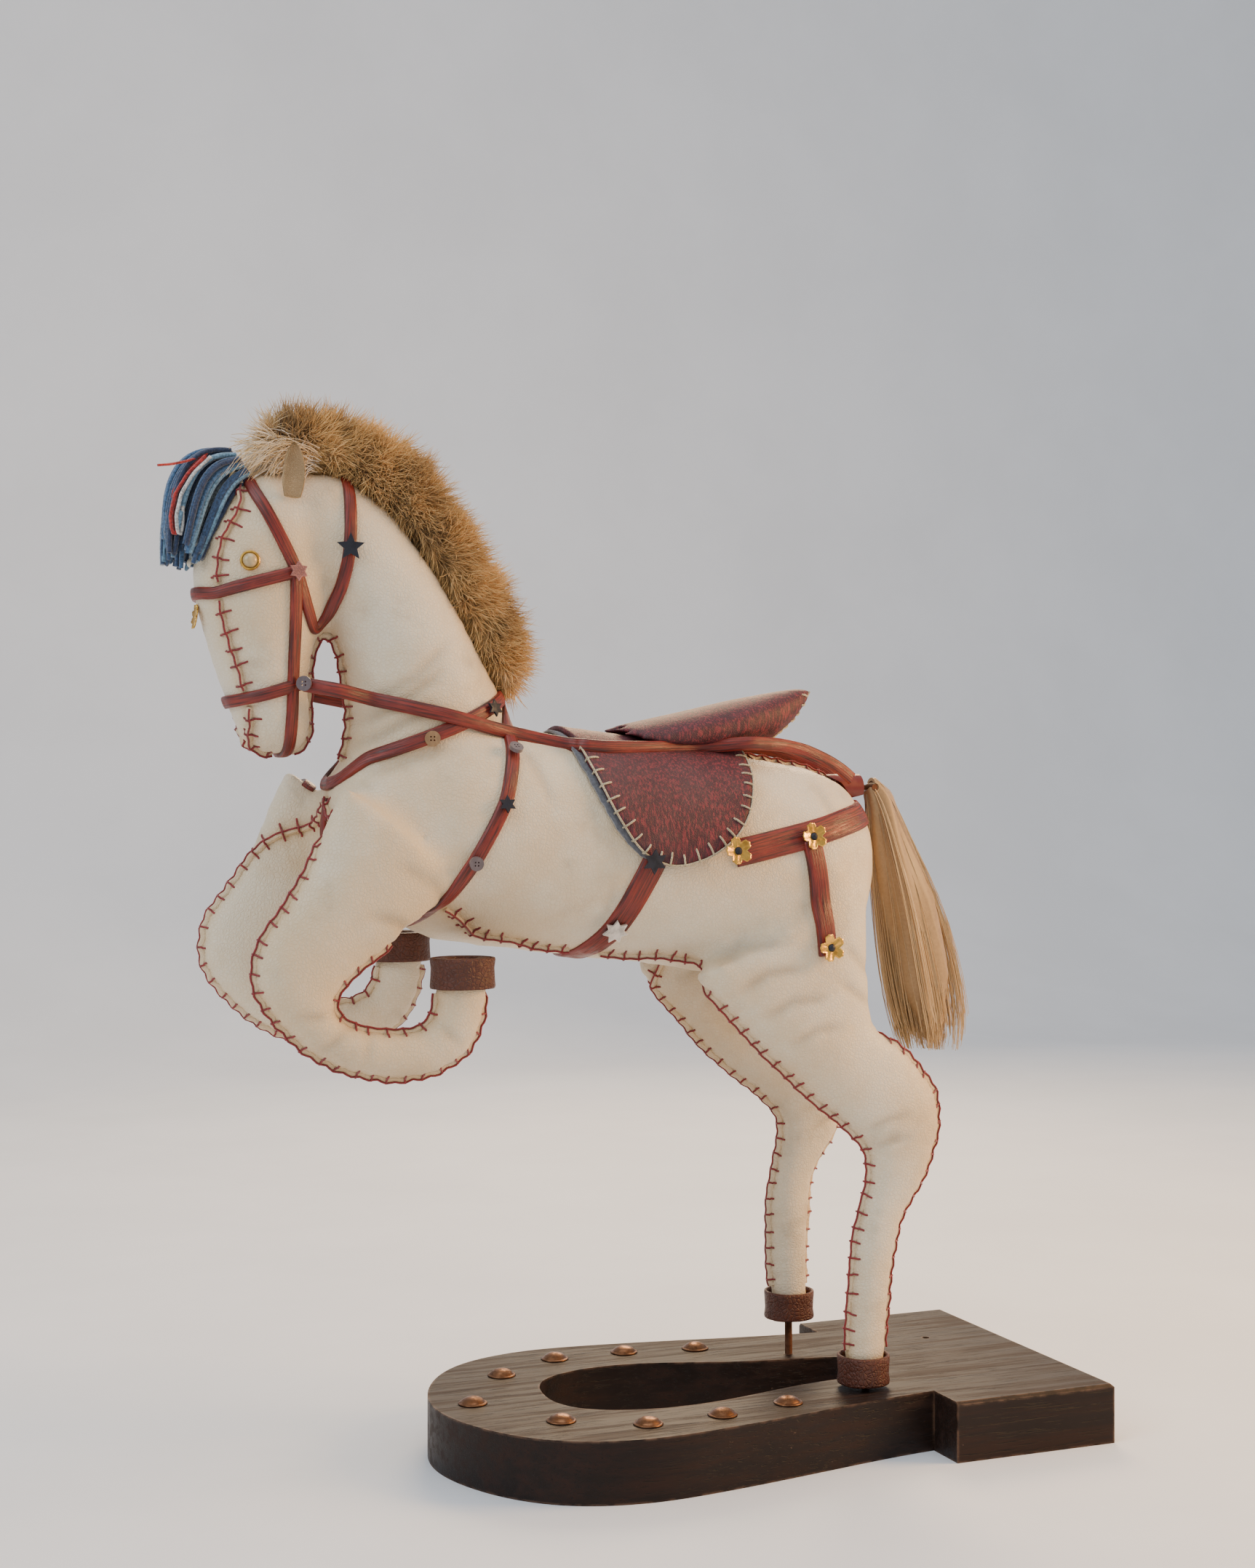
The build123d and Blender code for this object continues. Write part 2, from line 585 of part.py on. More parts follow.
def make_tail():
    """Dock that turns on the cross pin of the spine wire, and the horsehair round it."""
    pivot = Pos(TAIL_PIVOT[0], HORSE_Y, TAIL_PIVOT[1] + BASE_THICK)
    behind = pivot * Box(PLENTY, PLENTY, PLENTY, align=(Align.MIN, Align.CENTER, Align.CENTER))
    bearing = pivot * Rot(90, 0, 0) * Cylinder(TAIL_PIN_D / 2 + HINGE_CLEARANCE, 3 * DOCK_RADIUS)
    dock = (pivot * Sphere(DOCK_RADIUS) & behind) - pivot * Sphere(DOCK_HOLLOW_RADIUS) - bearing
    hair = stuffed(TAIL, TAIL_WIDTH, HORSE_Y) + pivot * Sphere(DOCK_RADIUS + TAIL_ROOT_WALL)
    below_wire = pivot * Pos(0, 0, -DOCK_RADIUS - HINGE_CLEARANCE)
    front = below_wire * Box(PLENTY, PLENTY, PLENTY, align=(Align.MAX, Align.CENTER, Align.MIN))
    hair = hair - pivot * Sphere(DOCK_RADIUS + HINGE_CLEARANCE) - front
    return largest(dock), largest(hair)


def make_ear(body, side):
    """Pointed leather leaf standing on the side of the poll."""
    point, _ = touch([body], *EAR_FOOT, side)
    half, tip = EAR_WIDTH / 2, EAR_LENGTH
    outline = [(-0.7 * half, -4), (0.7 * half, -4), (half, 0.35 * tip), (0.75 * half, 0.6 * tip),
               (0.25 * half, tip), (-0.55 * half, 0.6 * tip), (-half, 0.3 * tip)]
    leaf = extrude(make_face(Polyline(*outline, close=True)), amount=EAR_THICK)
    normal = Vector(-0.5, side * 0.86, 0.1).normalized()
    plane = Plane(origin=point, x_dir=Vector(0, 0, 1).cross(normal), z_dir=normal)
    return largest((plane * leaf) - body)


# (shape, places as (x, height), whether it lies on the rein)
CHARMS = {
    "bridle_rosettes": (lambda: star(6, 3.6, 0.62), [(-313, 308.6)], False),
    "rein_buttons": (lambda: button(2.7), [(-310, 269)], True),
    "throat_stars": (lambda: star(5, 5.2, 0.45), [(-293.6, 318)], False),
    "collar_buttons": (lambda: button(2.8), [(-265.5, 249.5)], False),
    "surcingle_buttons": (lambda: button(2.6), [(-234.5, 246), (-252.6, 205)], False),
    "small_stars": (lambda: star(6, 3.3, 0.55), [(-240, 261), (-241, 226)], False),
    "flap_stars": (lambda: star(6, 4.8, 0.55), [(-186, 205)], False),
    "girth_flowers": (lambda: star(7, 5.0, 0.6), [(-196, 179)], False),
    "gold_flowers": (lambda: flower(5.2), [(-152.5, 208), (-118.3, 213), (-113, 171)], False),
}
EYE_PLACE = (-330, 312)
ORNAMENT_PLACE = (293, -0.12)     # height, tilt in radians
TACK_PLACE = (312, 0.1)


def on_face(body, height, tilt, piece):
    """A small piece on the middle of the face, tilted back."""
    line = Axis((0, HORSE_Y, height + BASE_THICK), (-1, 0, 0))
    hits = [point for point, _ in body.find_intersection_points(line)]
    front = min(hits, key=lambda point: point.X)
    plane = Plane(origin=front, x_dir=(0, 1, 0), z_dir=(-cos(tilt), 0, sin(tilt)))
    return largest((plane.offset(GAP / 2) * piece).cut(body))


# =============================== assembly ============================================
def armature_nodes():
    """Rods of the hind legs, and the wires of the spine and the forelegs."""
    return {"near_leg_rod": make_rod(HINDLEG, NEAR), "far_leg_rod": make_rod(FAR_HINDLEG, FAR),
            "spine_wire": make_spine_wire(), "near_foreleg_wire": make_foreleg_wire(FORELEG, NEAR),
            "far_foreleg_wire": make_foreleg_wire(FAR_FORELEG, FAR)}


def base_nodes(rods):
    nails = [make_nail(x, y) for x, y in nail_places()]
    return {"base_board": make_base().cut(*rods, *nails), "base_nails": group(nails)}


def body_nodes(body, armature):
    """Wads of stuffing round the armature, and the leather over them."""
    nodes, taken = {}, list(armature)
    inside = body_pieces(LEATHER)
    for name, core in inside.items():
        nodes[name + "_stuffing"] = largest(core.cut(*taken))
        taken.append(core)
    nodes.update(split_skin(body.cut(joined(inside)).cut(*armature)))
    return nodes


def hoof_nodes(body, armature):
    nodes, soles = {}, []
    for name, (stations, side) in LEGS.items():
        cuff, sole = make_hoof(stations, side)
        nodes[name + "_cuff"] = largest(cuff.cut(body))
        soles.append(sole.cut(*armature))
    nodes["hoof_soles"] = group(soles)
    return nodes


class Harness:
    """Straps cut from one layer over the body, each ending where it meets an earlier one."""

    def __init__(self, body):
        self.body = body
        self.layer = joined(body_pieces(-STRAP_THICK))
        self.laid = []

    def lay(self, zone):
        piece = (self.layer & zone).cut(self.body, *self.laid)
        self.laid.append(zone)
        return group(real_solids(piece, SMALLEST_STRAP))

    def strap(self, path, width, y0=-PLENTY, y1=PLENTY):
        return self.lay(slab(ribbon_outline(path, width), y0, y1))


def harness_nodes(harness):
    chest = slab(CHEST_ZONE, HORSE_Y - BRIDLE_WIDTH / 2, HORSE_Y + BRIDLE_WIDTH / 2)
    return {
        "breast_collar": harness.strap(BREAST_COLLAR, COLLAR_WIDTH),
        "surcingle": harness.strap(SURCINGLE, SURCINGLE_WIDTH),
        "throat_strap": harness.strap(THROAT_STRAP, BRIDLE_WIDTH),
        "crownpiece": harness.strap(CROWNPIECE, BRIDLE_WIDTH),
        "cheek_strap": harness.strap(CHEEK_STRAP, BRIDLE_WIDTH),
        "browband": harness.strap(BROWBAND, BRIDLE_WIDTH),
        "noseband": harness.strap(NOSEBAND, BRIDLE_WIDTH),
        "girth": harness.strap(GIRTH, GIRTH_WIDTH),
        "breeching": harness.strap(BREECHING, BREECHING_WIDTH),
        "near_hip_drop": harness.strap(HIP_DROP, HIP_DROP_WIDTH, -PLENTY, HORSE_Y),
        "far_hip_drop": harness.strap(HIP_DROP, HIP_DROP_WIDTH, HORSE_Y, PLENTY),
        "chest_strap": harness.lay(chest),
    }


def saddle_nodes(body, laid):
    """Lining and flaps lie over the trunk, the seat stands on the flaps."""
    lining_lift = STRAP_THICK + LINING_THICK
    lining_top = stuffed(TRUNK, TRUNK_WIDTH, HORSE_Y, -lining_lift)
    flap_top = stuffed(TRUNK, TRUNK_WIDTH, HORSE_Y, -lining_lift - SADDLE_THICK)
    seat = stuffed(SEAT, SEAT_WIDTH, HORSE_Y)
    return {"saddle_lining": largest((lining_top & slab(LINING)).cut(body, *laid)),
            "saddle_flaps": largest((flap_top & slab(FLAP)).cut(lining_top, body)),
            "saddle_seat": largest(seat.cut(flap_top, body))}


def hair_nodes(body, harness, crownpiece):
    """Mane, ears, forelock and its thread bar, dock and tail."""
    under_mane = [slab(ribbon_outline(THROAT_STRAP, BRIDLE_WIDTH)),
                  slab(ribbon_outline(CROWNPIECE, BRIDLE_WIDTH)),
                  slab(ribbon_outline(BREAST_COLLAR, COLLAR_WIDTH))]
    mane = make_mane([body] + under_mane)
    dock, hair = make_tail()
    return {"mane": mane,
            "near_ear": make_ear(body, NEAR).cut(mane, *harness.laid),
            "far_ear": make_ear(body, FAR).cut(mane, *harness.laid),
            "forelock_tie": tie_bar(TIE_RADIUS).cut(body, mane, crownpiece),
            "forelock": make_forelock(harness.layer).cut(mane),
            "tail_dock": dock, "tail_hair": hair}


def make_crupper(body, spine, laid):
    """Collar round the root of the tail, behind the breeching."""
    end = Pos(TAIL_PIVOT[0] - CRUPPER_GAP, HORSE_Y, TAIL_PIVOT[1] + BASE_THICK) * Rot(0, 90, 0)
    bar = end * Cylinder(CRUPPER_D / 2, CRUPPER_LENGTH, align=(Align.CENTER, Align.CENTER, Align.MAX))
    return largest(bar.cut(body, spine, *laid))


def charm_nodes(body, strap_layer, tops, reins):
    """Small pieces of metal, wood, horn and bone."""
    nodes = {}
    for name, (piece, places, over_rein) in CHARMS.items():
        layers = tops + reins if over_rein else tops
        charms = []
        for x, z in places:
            charms += on_both_sides(layers, x, z, piece(), GAP)
        nodes[name] = group([charm.cut(strap_layer) for charm in charms])
    eyes = on_both_sides([body], *EYE_PLACE, dome(EYE_D, EYE_HEIGHT), -EYE_SUNK)
    nodes["eyes"] = group([piece.cut(body) for piece in eyes])
    nodes["blaze_ornament"] = on_face(body, *ORNAMENT_PLACE, dome(ORNAMENT_D, CHARM_THICK))
    nodes["blaze_tack"] = on_face(body, *TACK_PLACE, dome(TACK_D, TACK_HEIGHT))
    return nodes


def make_parts():
    body = joined(body_pieces(0.0))
    nodes = armature_nodes()
    armature = list(nodes.values())
    nodes.update(base_nodes([nodes["near_leg_rod"], nodes["far_leg_rod"]]))
    nodes.update(body_nodes(body, armature))
    nodes.update(hoof_nodes(body, armature))
    harness = Harness(body)
    nodes.update(harness_nodes(harness))
    nodes.update(saddle_nodes(body, harness.laid))
    nodes.update(hair_nodes(body, harness, nodes["crownpiece"]))
    nodes["crupper_loop"] = make_crupper(body, nodes["spine_wire"], harness.laid)
    tops = [harness.layer, nodes["saddle_flaps"], nodes["saddle_seat"]]
    under_rein = tops + [nodes["saddle_lining"], nodes["crupper_loop"]]
    reins = [largest(make_rein(tops, side).cut(*under_rein)) for side in (NEAR, FAR)]
    nodes["near_rein"], nodes["far_rein"] = reins
    nodes.update(charm_nodes(body, harness.layer, tops, reins))
    return nodes


def main():
    os.makedirs("parts", exist_ok=True)
    nodes = make_parts()
    box = Compound([solid for shape in nodes.values() for solid in shape.solids()]).bounding_box()
    to_origin = Pos(-box.center().X, -box.center().Y, -box.min.Z)
    for name, shape in nodes.items():
        export_step(to_origin * shape, f"parts/{name}.step")


if __name__ == "__main__":
    main()
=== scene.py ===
"""Looks of a hand-stitched leather horse on a horseshoe base, built round the packed CAD frame."""
import math
import random

import bmesh
import bpy
import numpy as np
from bpy.props import (FloatProperty, FloatVectorProperty, IntProperty, PointerProperty)
from mathutils import Matrix, Vector, noise
from mathutils.bvhtree import BVHTree
from mathutils.geometry import delaunay_2d_cdt
from mathutils.kdtree import KDTree


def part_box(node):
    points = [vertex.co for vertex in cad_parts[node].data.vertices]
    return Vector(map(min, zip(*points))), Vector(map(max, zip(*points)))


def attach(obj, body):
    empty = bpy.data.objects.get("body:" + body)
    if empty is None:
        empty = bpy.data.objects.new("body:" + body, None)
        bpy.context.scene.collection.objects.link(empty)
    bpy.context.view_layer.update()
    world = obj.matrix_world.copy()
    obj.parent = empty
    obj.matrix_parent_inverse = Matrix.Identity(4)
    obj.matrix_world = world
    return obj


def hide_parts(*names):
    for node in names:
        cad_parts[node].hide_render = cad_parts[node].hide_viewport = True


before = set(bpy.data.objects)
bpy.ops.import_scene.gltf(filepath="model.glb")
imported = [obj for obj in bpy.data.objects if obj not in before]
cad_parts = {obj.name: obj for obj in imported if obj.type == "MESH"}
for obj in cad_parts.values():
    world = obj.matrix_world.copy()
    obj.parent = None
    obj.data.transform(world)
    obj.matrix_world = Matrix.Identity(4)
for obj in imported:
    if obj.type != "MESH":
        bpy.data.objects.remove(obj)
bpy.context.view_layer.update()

bl_info = {
    "name": "Stitched Leather Horse",
    "version": (1, 0, 0),
    "blender": (4, 5, 0),
    "location": "3D View > Sidebar > Horse",
    "description": "Leather, stitches, harness, saddle, hair and base of the rearing horse",
    "category": "Add Mesh",
}

# ---- places, all from the CAD frame --------------------------------------------------
MM = 0.001
HEEL_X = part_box("base_board")[1].x
BOARD_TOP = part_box("base_board")[1].z
MIDDLE_Y = sum(corner.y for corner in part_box("trunk_stuffing")) / 2
NEAR, FAR = -1, 1
LOOK = "look_"  # before the name of each procedural material, apart from the frame's own
LEGS = ("near_foreleg", "far_foreleg", "near_hindleg", "far_hindleg")
SKIN_NODES = ("near_side_panel", "far_side_panel", "underbody_gusset", "face_gusset",
              "trunk_stuffing", "neck_stuffing", "head_stuffing") + tuple(
                  leg + "_stuffing" for leg in LEGS)

# Profile points are millimetres: x from the heel of the base, height over the board.
# The seam runs this far from the middle plane: (x, height, distance).
SEAM_SPREAD = (
    (-310, 190, 28.5), (-325, 175, 28.5), (-332, 160, 28.5), (-316, 143, 28.5),
    (-290, 133, 28.5), (-265, 136, 28.5), (-253, 150, 28.5), (-255, 166, 28.5),
    (-285, 165, 28.5), (-300, 200, 28.5), (-296, 150, 28.5), (-268, 172, 26),
    (-245, 171, 14), (-215, 167, 12), (-190, 164, 12), (-170, 162, 15),
    (-150, 150, 28.5), (-128, 126, 28.5), (-100, 104, 28.5), (-75, 95, 28.5),
    (-60, 104, 28.5), (-85, 70, 28.5), (-90, 40, 28.5), (-92, 8, 28.5), (-86, 150, 24),
    (-70, 128, 28.5), (-84, 172, 12), (-78, 196, 0), (-80, 225, 0), (-95, 240, 0),
    (-125, 247, 0), (-175, 250, 0), (-215, 256, 0), (-228, 268, 0), (-240, 285, 0),
    (-262, 318, 0), (-290, 347, 0), (-312, 350, 0), (-293, 236, 0), (-293, 260, 0),
    (-296, 280, 0), (-301, 290, 0), (-302, 262, 0), (-304, 250, 0), (-316, 242, 0),
    (-340, 332, 12), (-349, 310, 12), (-346, 290, 12), (-340, 273, 12), (-336, 262, 11),
    (-328, 346, 5))
CREASES = (  # (points, depth, width)
    (((-291, 246), (-280, 252), (-262, 263)), 0.9, 2.2),
    (((-290, 254), (-276, 262), (-258, 276)), 0.7, 2.0),
    (((-290, 237), (-276, 241), (-262, 246)), 0.8, 2.2),
    (((-286, 262), (-270, 272), (-256, 286)), 0.6, 2.0),
    (((-158, 165), (-146, 172), (-128, 174)), 0.9, 2.4),
    (((-150, 154), (-138, 162), (-120, 164)), 0.9, 2.2),
    (((-140, 144), (-128, 151), (-112, 152)), 0.8, 2.0),
    (((-130, 133), (-118, 140), (-104, 141)), 0.7, 1.8),
    (((-92, 92), (-84, 96), (-74, 97)), 0.8, 1.6),
    (((-96, 99), (-86, 104), (-74, 106)), 0.7, 1.6),
    (((-88, 148), (-98, 152), (-110, 160)), 0.8, 2.2),
    (((-86, 158), (-96, 164), (-108, 174)), 0.7, 2.2),
    (((-302, 154), (-310, 152), (-320, 153)), 0.8, 1.6),
    (((-298, 149), (-304, 143), (-310, 138)), 0.8, 1.6),
    (((-290, 147), (-292, 140), (-293, 134)), 0.6, 1.5),
    (((-267, 150), (-262, 144), (-256, 139)), 0.8, 1.5),
    (((-268, 176), (-280, 184), (-294, 188)), 0.9, 2.2),
    (((-258, 186), (-268, 198), (-284, 206)), 0.6, 2.4),
    (((-232, 252), (-226, 236), (-222, 222)), 0.5, 2.4),
    (((-112, 236), (-106, 222), (-104, 210)), 0.5, 2.4),
    (((-199, 200), (-200, 186), (-206, 176)), 0.4, 2.2))

CROWNPIECE = ((-313, 308.6), (-319, 321), (-327, 337.4), (-330, 352))
BROWBAND = ((-313, 308.6), (-325, 305.2), (-341, 300.5), (-352, 302))
NOSEBAND = ((-311, 269), (-325, 264.7), (-335, 262.6), (-345, 264))
CHEEK_STRAP = ((-313.2, 308.6), (-313.5, 283), (-314.2, 235))
THROAT_STRAP = ((-313, 308.6), (-309, 297), (-305, 287.5), (-300.3, 293), (-295.8, 303),
                (-293.8, 313), (-293, 323), (-292, 350))
BREAST_COLLAR = ((-316, 222), (-300, 231), (-286.5, 242.4), (-265.6, 250.3), (-255, 254.5),
                 (-244, 259.5), (-228, 268))
SURCINGLE = ((-231, 268), (-234.2, 246.8), (-240.6, 226.8), (-252.6, 205), (-261.3, 192.4),
             (-270.2, 184), (-280, 176))
GIRTH = ((-180, 212), (-187.5, 197), (-195.9, 179), (-204, 168.5), (-212, 158))
BREECHING = ((-152, 207), (-122, 213.3), (-101, 218.4), (-66, 227))
HIP_DROP = ((-118.5, 213), (-115.5, 194), (-113.2, 167))
FLAP = ((-213.5, 246), (-209.5, 238), (-204, 228), (-198.7, 217.5), (-193, 207), (-188, 202.5),
        (-181, 200.5), (-171, 200.5), (-161, 203), (-148, 210), (-141, 217), (-137, 227.5),
        (-134.5, 240))
LINING = ((-216, 250), (-212, 238), (-206.5, 227), (-201, 217), (-195, 206), (-189, 201.5),
          (-181, 199.8), (-171, 199.8), (-161, 202.4), (-149, 209), (-142, 217), (-138, 228),
          (-135.5, 240))
REIN = ((-311, 269, None), (-298, 266.5, 0.56), (-284, 263.6, None), (-270, 260.3, None),
        (-255, 257, None), (-243, 254, None), (-232, 252, None), (-220, 249.5, None),
        (-209, 247.7, None), (-198, 246.8, None), (-188, 246.8, None), (-172, 247, None),
        (-156, 247.5, None), (-137, 249, 0.56), (-122, 248.5, 0.42), (-110, 246.5, 0.34),
        (-99, 242.5, 0.28), (-91, 238.5, 0.23), (-85.5, 234.5, 0.19))
# Hair forms: (front point, back point, half the width across)
TAIL_FORM = (((-78, 229), (-71, 237), 4.2), ((-77.5, 221), (-63, 231), 6.5),
             ((-76.5, 205), (-55, 212), 9.0), ((-74, 180), (-43, 190), 11.0),
             ((-70, 152), (-34, 160), 11.0), ((-63, 134), (-31, 138), 9.0),
             ((-56, 124), (-36, 121), 6.0))
FORELOCK_FORM = (((-326, 343), (-333, 352.5), 9.0), ((-331, 339), (-343, 354), 10.5),
                 ((-335, 332), (-351.5, 348.5), 12.0), ((-338, 324), (-356, 337), 12.5),
                 ((-342, 316), (-357, 322), 12.5), ((-346, 308), (-355.5, 308), 10.5))


def spot(x, height, y=None):
    """A profile point in the frame, in metres."""
    return np.array((HEEL_X + x * MM, MIDDLE_Y if y is None else y, BOARD_TOP + height * MM))


def profile(points):
    """Columns x and z of profile points, in metres."""
    return np.array([spot(p[0], p[1])[[0, 2]] for p in points])


# ---- settings ------------------------------------------------------------------------
def size(name, description, default):
    return FloatProperty(name=name, description=description, default=default, min=0.0,
                         subtype="DISTANCE", unit="LENGTH", precision=5)


def colour(name, description, default):
    return FloatVectorProperty(name=name, description=description, default=default, size=3,
                               min=0.0, max=1.0, subtype="COLOR")


class HorseBodySettings(bpy.types.PropertyGroup):
    """Stuffed leather body and its seams."""
    voxel: size("Skin voxel", "Cell size of the skin before it is puffed", 0.003)
    draw_in: size("Draw-in", "How far the skin starts inside its final surface", 0.0008)
    puff_limit: size("Puff limit", "Furthest that the stuffing moves a point", 0.0022)
    pucker: size("Pucker depth", "Depth of the gathers along a seam", 0.00065)
    lip_height: size("Seam lip height", "How far the two leather edges stand proud", 0.0017)
    lip_width: size("Seam lip width", "Both leather edges together", 0.0016)
    leather: colour("Leather", "Clean white leather", (0.74, 0.655, 0.50))
    ochre: colour("Ochre", "Warm yellowed leather", (0.60, 0.36, 0.12))
    # the stain colour also paints the shade in the creases
    stain: colour("Stain", "Grey handling stains", (0.27, 0.21, 0.14))


class HorseStitchSettings(bpy.types.PropertyGroup):
    """Blanket stitches."""
    pitch: size("Stitch pitch", "From one stitch to the next", 0.0064)
    length: size("Stitch length", "How far a stitch reaches into the panel", 0.0044)
    thread: size("Thread diameter", "Waxed thread", 0.00082)
    crimson: colour("Crimson thread", "Thread of the body seams", (0.30, 0.008, 0.010))
    cream: colour("Cream thread", "Thread of the saddle edges", (0.62, 0.52, 0.33))


class HorseHarnessSettings(bpy.types.PropertyGroup):
    """Straps."""
    thickness: size("Strap thickness", "Leather of the straps", 0.0013)
    bridle: size("Bridle width", "Width of the head straps", 0.0046)
    collar: size("Collar width", "Width of breast collar and surcingle", 0.0052)
    girth: size("Girth width", "Width of the girth", 0.0095)
    breeching: size("Breeching width", "Width of the strap round the rump", 0.0105)
    hip_drop: size("Hip drop width", "Width of the hanging hip strap", 0.0078)
    rein: size("Rein width", "Width of the reins", 0.0052)
    red: colour("Strap red", "Brick-red strap leather", (0.205, 0.017, 0.010))
    dark: colour("Strap streak", "Dark streaks along a strap", (0.022, 0.006, 0.005))


class HorseSaddleSettings(bpy.types.PropertyGroup):
    """Saddle."""
    flap: size("Flap thickness", "Leather of the flaps", 0.0019)
    lining: size("Lining thickness", "Suede under the flaps", 0.0011)
    plum: colour("Plum leather", "Ground colour of the saddle", (0.055, 0.015, 0.021))
    rose: colour("Rose streaks", "Rubbed streaks of the saddle", (0.27, 0.035, 0.045))
    suede: colour("Suede", "Grey-blue lining", (0.13, 0.135, 0.155))


class HorseHairSettings(bpy.types.PropertyGroup):
    """Mane, forelock and tail."""
    fur_density: FloatProperty(name="Fur density", description="Fur strands per square metre",
                               default=3.2e6, min=0.0)
    fur_length: size("Fur length", "Length of the mane's pile", 0.0122)
    fur_strand: size("Fur strand radius", "Root radius of one tuft hair", 0.00022)
    tail_strands: IntProperty(name="Tail strands", description="Hairs of the tail",
                              default=1500, min=1)
    tail_strand: size("Tail hair radius", "Root radius of a tail hair", 0.00023)
    yarns: IntProperty(name="Yarn strands", description="Strands of the forelock",
                       default=92, min=1)
    yarn: size("Yarn diameter", "Forelock yarn", 0.0019)
    fur_tip: colour("Fur tip", "Sunlit ends of the pile", (0.80, 0.52, 0.20))
    fur_root: colour("Fur root", "Shaded roots of the pile", (0.12, 0.045, 0.012))
    hair_light: colour("Hair light", "Blond tail hair", (0.78, 0.55, 0.27))
    # hair_dark also paints shade: the roots, the inner and front strands and the core of the tail
    # lean to it
    hair_dark: colour("Hair dark", "Brown inner tail hair", (0.12, 0.050, 0.016))


class HorseMetalSettings(bpy.types.PropertyGroup):
    """Nails, spangles, buttons and rods."""
    gold: colour("Gold", "Stamped gold spangles", (0.72, 0.41, 0.085))
    brass: colour("Antique brass", "Domed nails of the base", (0.20, 0.095, 0.048))
    # this dark colour also paints the shade in the holes of the gold flowers
    dark_metal: colour("Dark metal", "Blue-black stars", (0.016, 0.018, 0.028))
    silver: colour("Silver", "Pale star at the girth", (0.68, 0.64, 0.58))
    pearl: colour("Pearl", "Eye buttons", (0.55, 0.40, 0.19))
    bone: colour("Bone", "Tack over the blaze", (0.80, 0.70, 0.52))
    horn: colour("Horn", "Grey-mauve buttons", (0.13, 0.095, 0.10))
    rust: colour("Rust", "Leg rods", (0.15, 0.055, 0.022))


class HorseBaseSettings(bpy.types.PropertyGroup):
    """Wooden base and hooves."""
    wood: colour("Stained wood", "Dark stain", (0.0095, 0.0046, 0.0033))
    grain: colour("Wood grain", "Paler grain", (0.022, 0.0095, 0.0062))
    hoof: colour("Hoof leather", "Brown cuffs", (0.10, 0.028, 0.014))
    ear: colour("Ear leather", "Beige ear leaves", (0.52, 0.33, 0.16))


class HorseStageSettings(bpy.types.PropertyGroup):
    """Floor, lights and camera."""
    floor: colour("Floor", "Pale floor", (0.80, 0.82, 0.85))
    key: FloatProperty(name="Key light", description="Power of the warm light", default=9.0,
                       min=0.0, unit="POWER")
    fill: FloatProperty(name="Fill light", description="Power of the cool light", default=9.5,
                        min=0.0, unit="POWER")
    lens: FloatProperty(name="Lens", description="Focal length", default=51.1, min=1.0,
                        unit="CAMERA")


SETTINGS = {
    "horse_body": HorseBodySettings, "horse_stitch": HorseStitchSettings,
    "horse_harness": HorseHarnessSettings, "horse_saddle": HorseSaddleSettings,
    "horse_hair": HorseHairSettings, "horse_metal": HorseMetalSettings,
    "horse_base": HorseBaseSettings, "horse_stage": HorseStageSettings,
}


# ---- node trees ----------------------------------------------------------------------
def node(tree, kind, inputs=None, **settings):
    """Add a node; each input is given a value or the socket that feeds it."""
    made = tree.nodes.new(kind)
    for key, value in settings.items():
        setattr(made, key, value)
    for key, value in (inputs or {}).items():
        if isinstance(value, bpy.types.NodeSocket):
            tree.links.new(value, made.inputs[key])
        else:
            made.inputs[key].default_value = value
    return made


def maths(tree, operation, first, second=0.0, clamp=False):
    made = node(tree, "ShaderNodeMath", {0: first, 1: second}, operation=operation)
    made.use_clamp = clamp
    return made.outputs[0]


def mix(tree, factor, first, second, blend="MIX"):
    """Blend two colours."""
    made = node(tree, "ShaderNodeMix", data_type="RGBA", blend_type=blend)
    for index, value in ((0, factor), (6, first), (7, second)):
        if isinstance(value, bpy.types.NodeSocket):
            tree.links.new(value, made.inputs[index])
        elif index == 0:
            made.inputs[index].default_value = value
        else:
            made.inputs[index].default_value = (*value[:3], 1.0)
    return made.outputs[2]


def remap(tree, value, low, high, to_low=0.0, to_high=1.0):
    made = node(tree, "ShaderNodeMapRange", {"Value": value, "From Min": low, "From Max": high,
                                             "To Min": to_low, "To Max": to_high},
                interpolation_type="SMOOTHSTEP")
    return made.outputs[0]


def group_tree(name, kind, inputs, outputs):
    """A node group with named sockets: {name: (socket type, default)}."""
    tree = bpy.data.node_groups.new(name, kind)
    for label, (socket, default) in inputs.items():
        made = tree.interface.new_socket(name=label, in_out="INPUT", socket_type=socket)
        if default is not None:
            made.default_value = default
    for label, socket in outputs.items():
        tree.interface.new_socket(name=label, in_out="OUTPUT", socket_type=socket)
    return tree, tree.nodes.new("NodeGroupInput").outputs, tree.nodes.new("NodeGroupOutput").inputs


def object_coords(tree, scale=(1, 1, 1)):
    place = node(tree, "ShaderNodeTexCoord").outputs["Object"]
    return node(tree, "ShaderNodeMapping", {"Vector": place, "Scale": scale}).outputs[0]


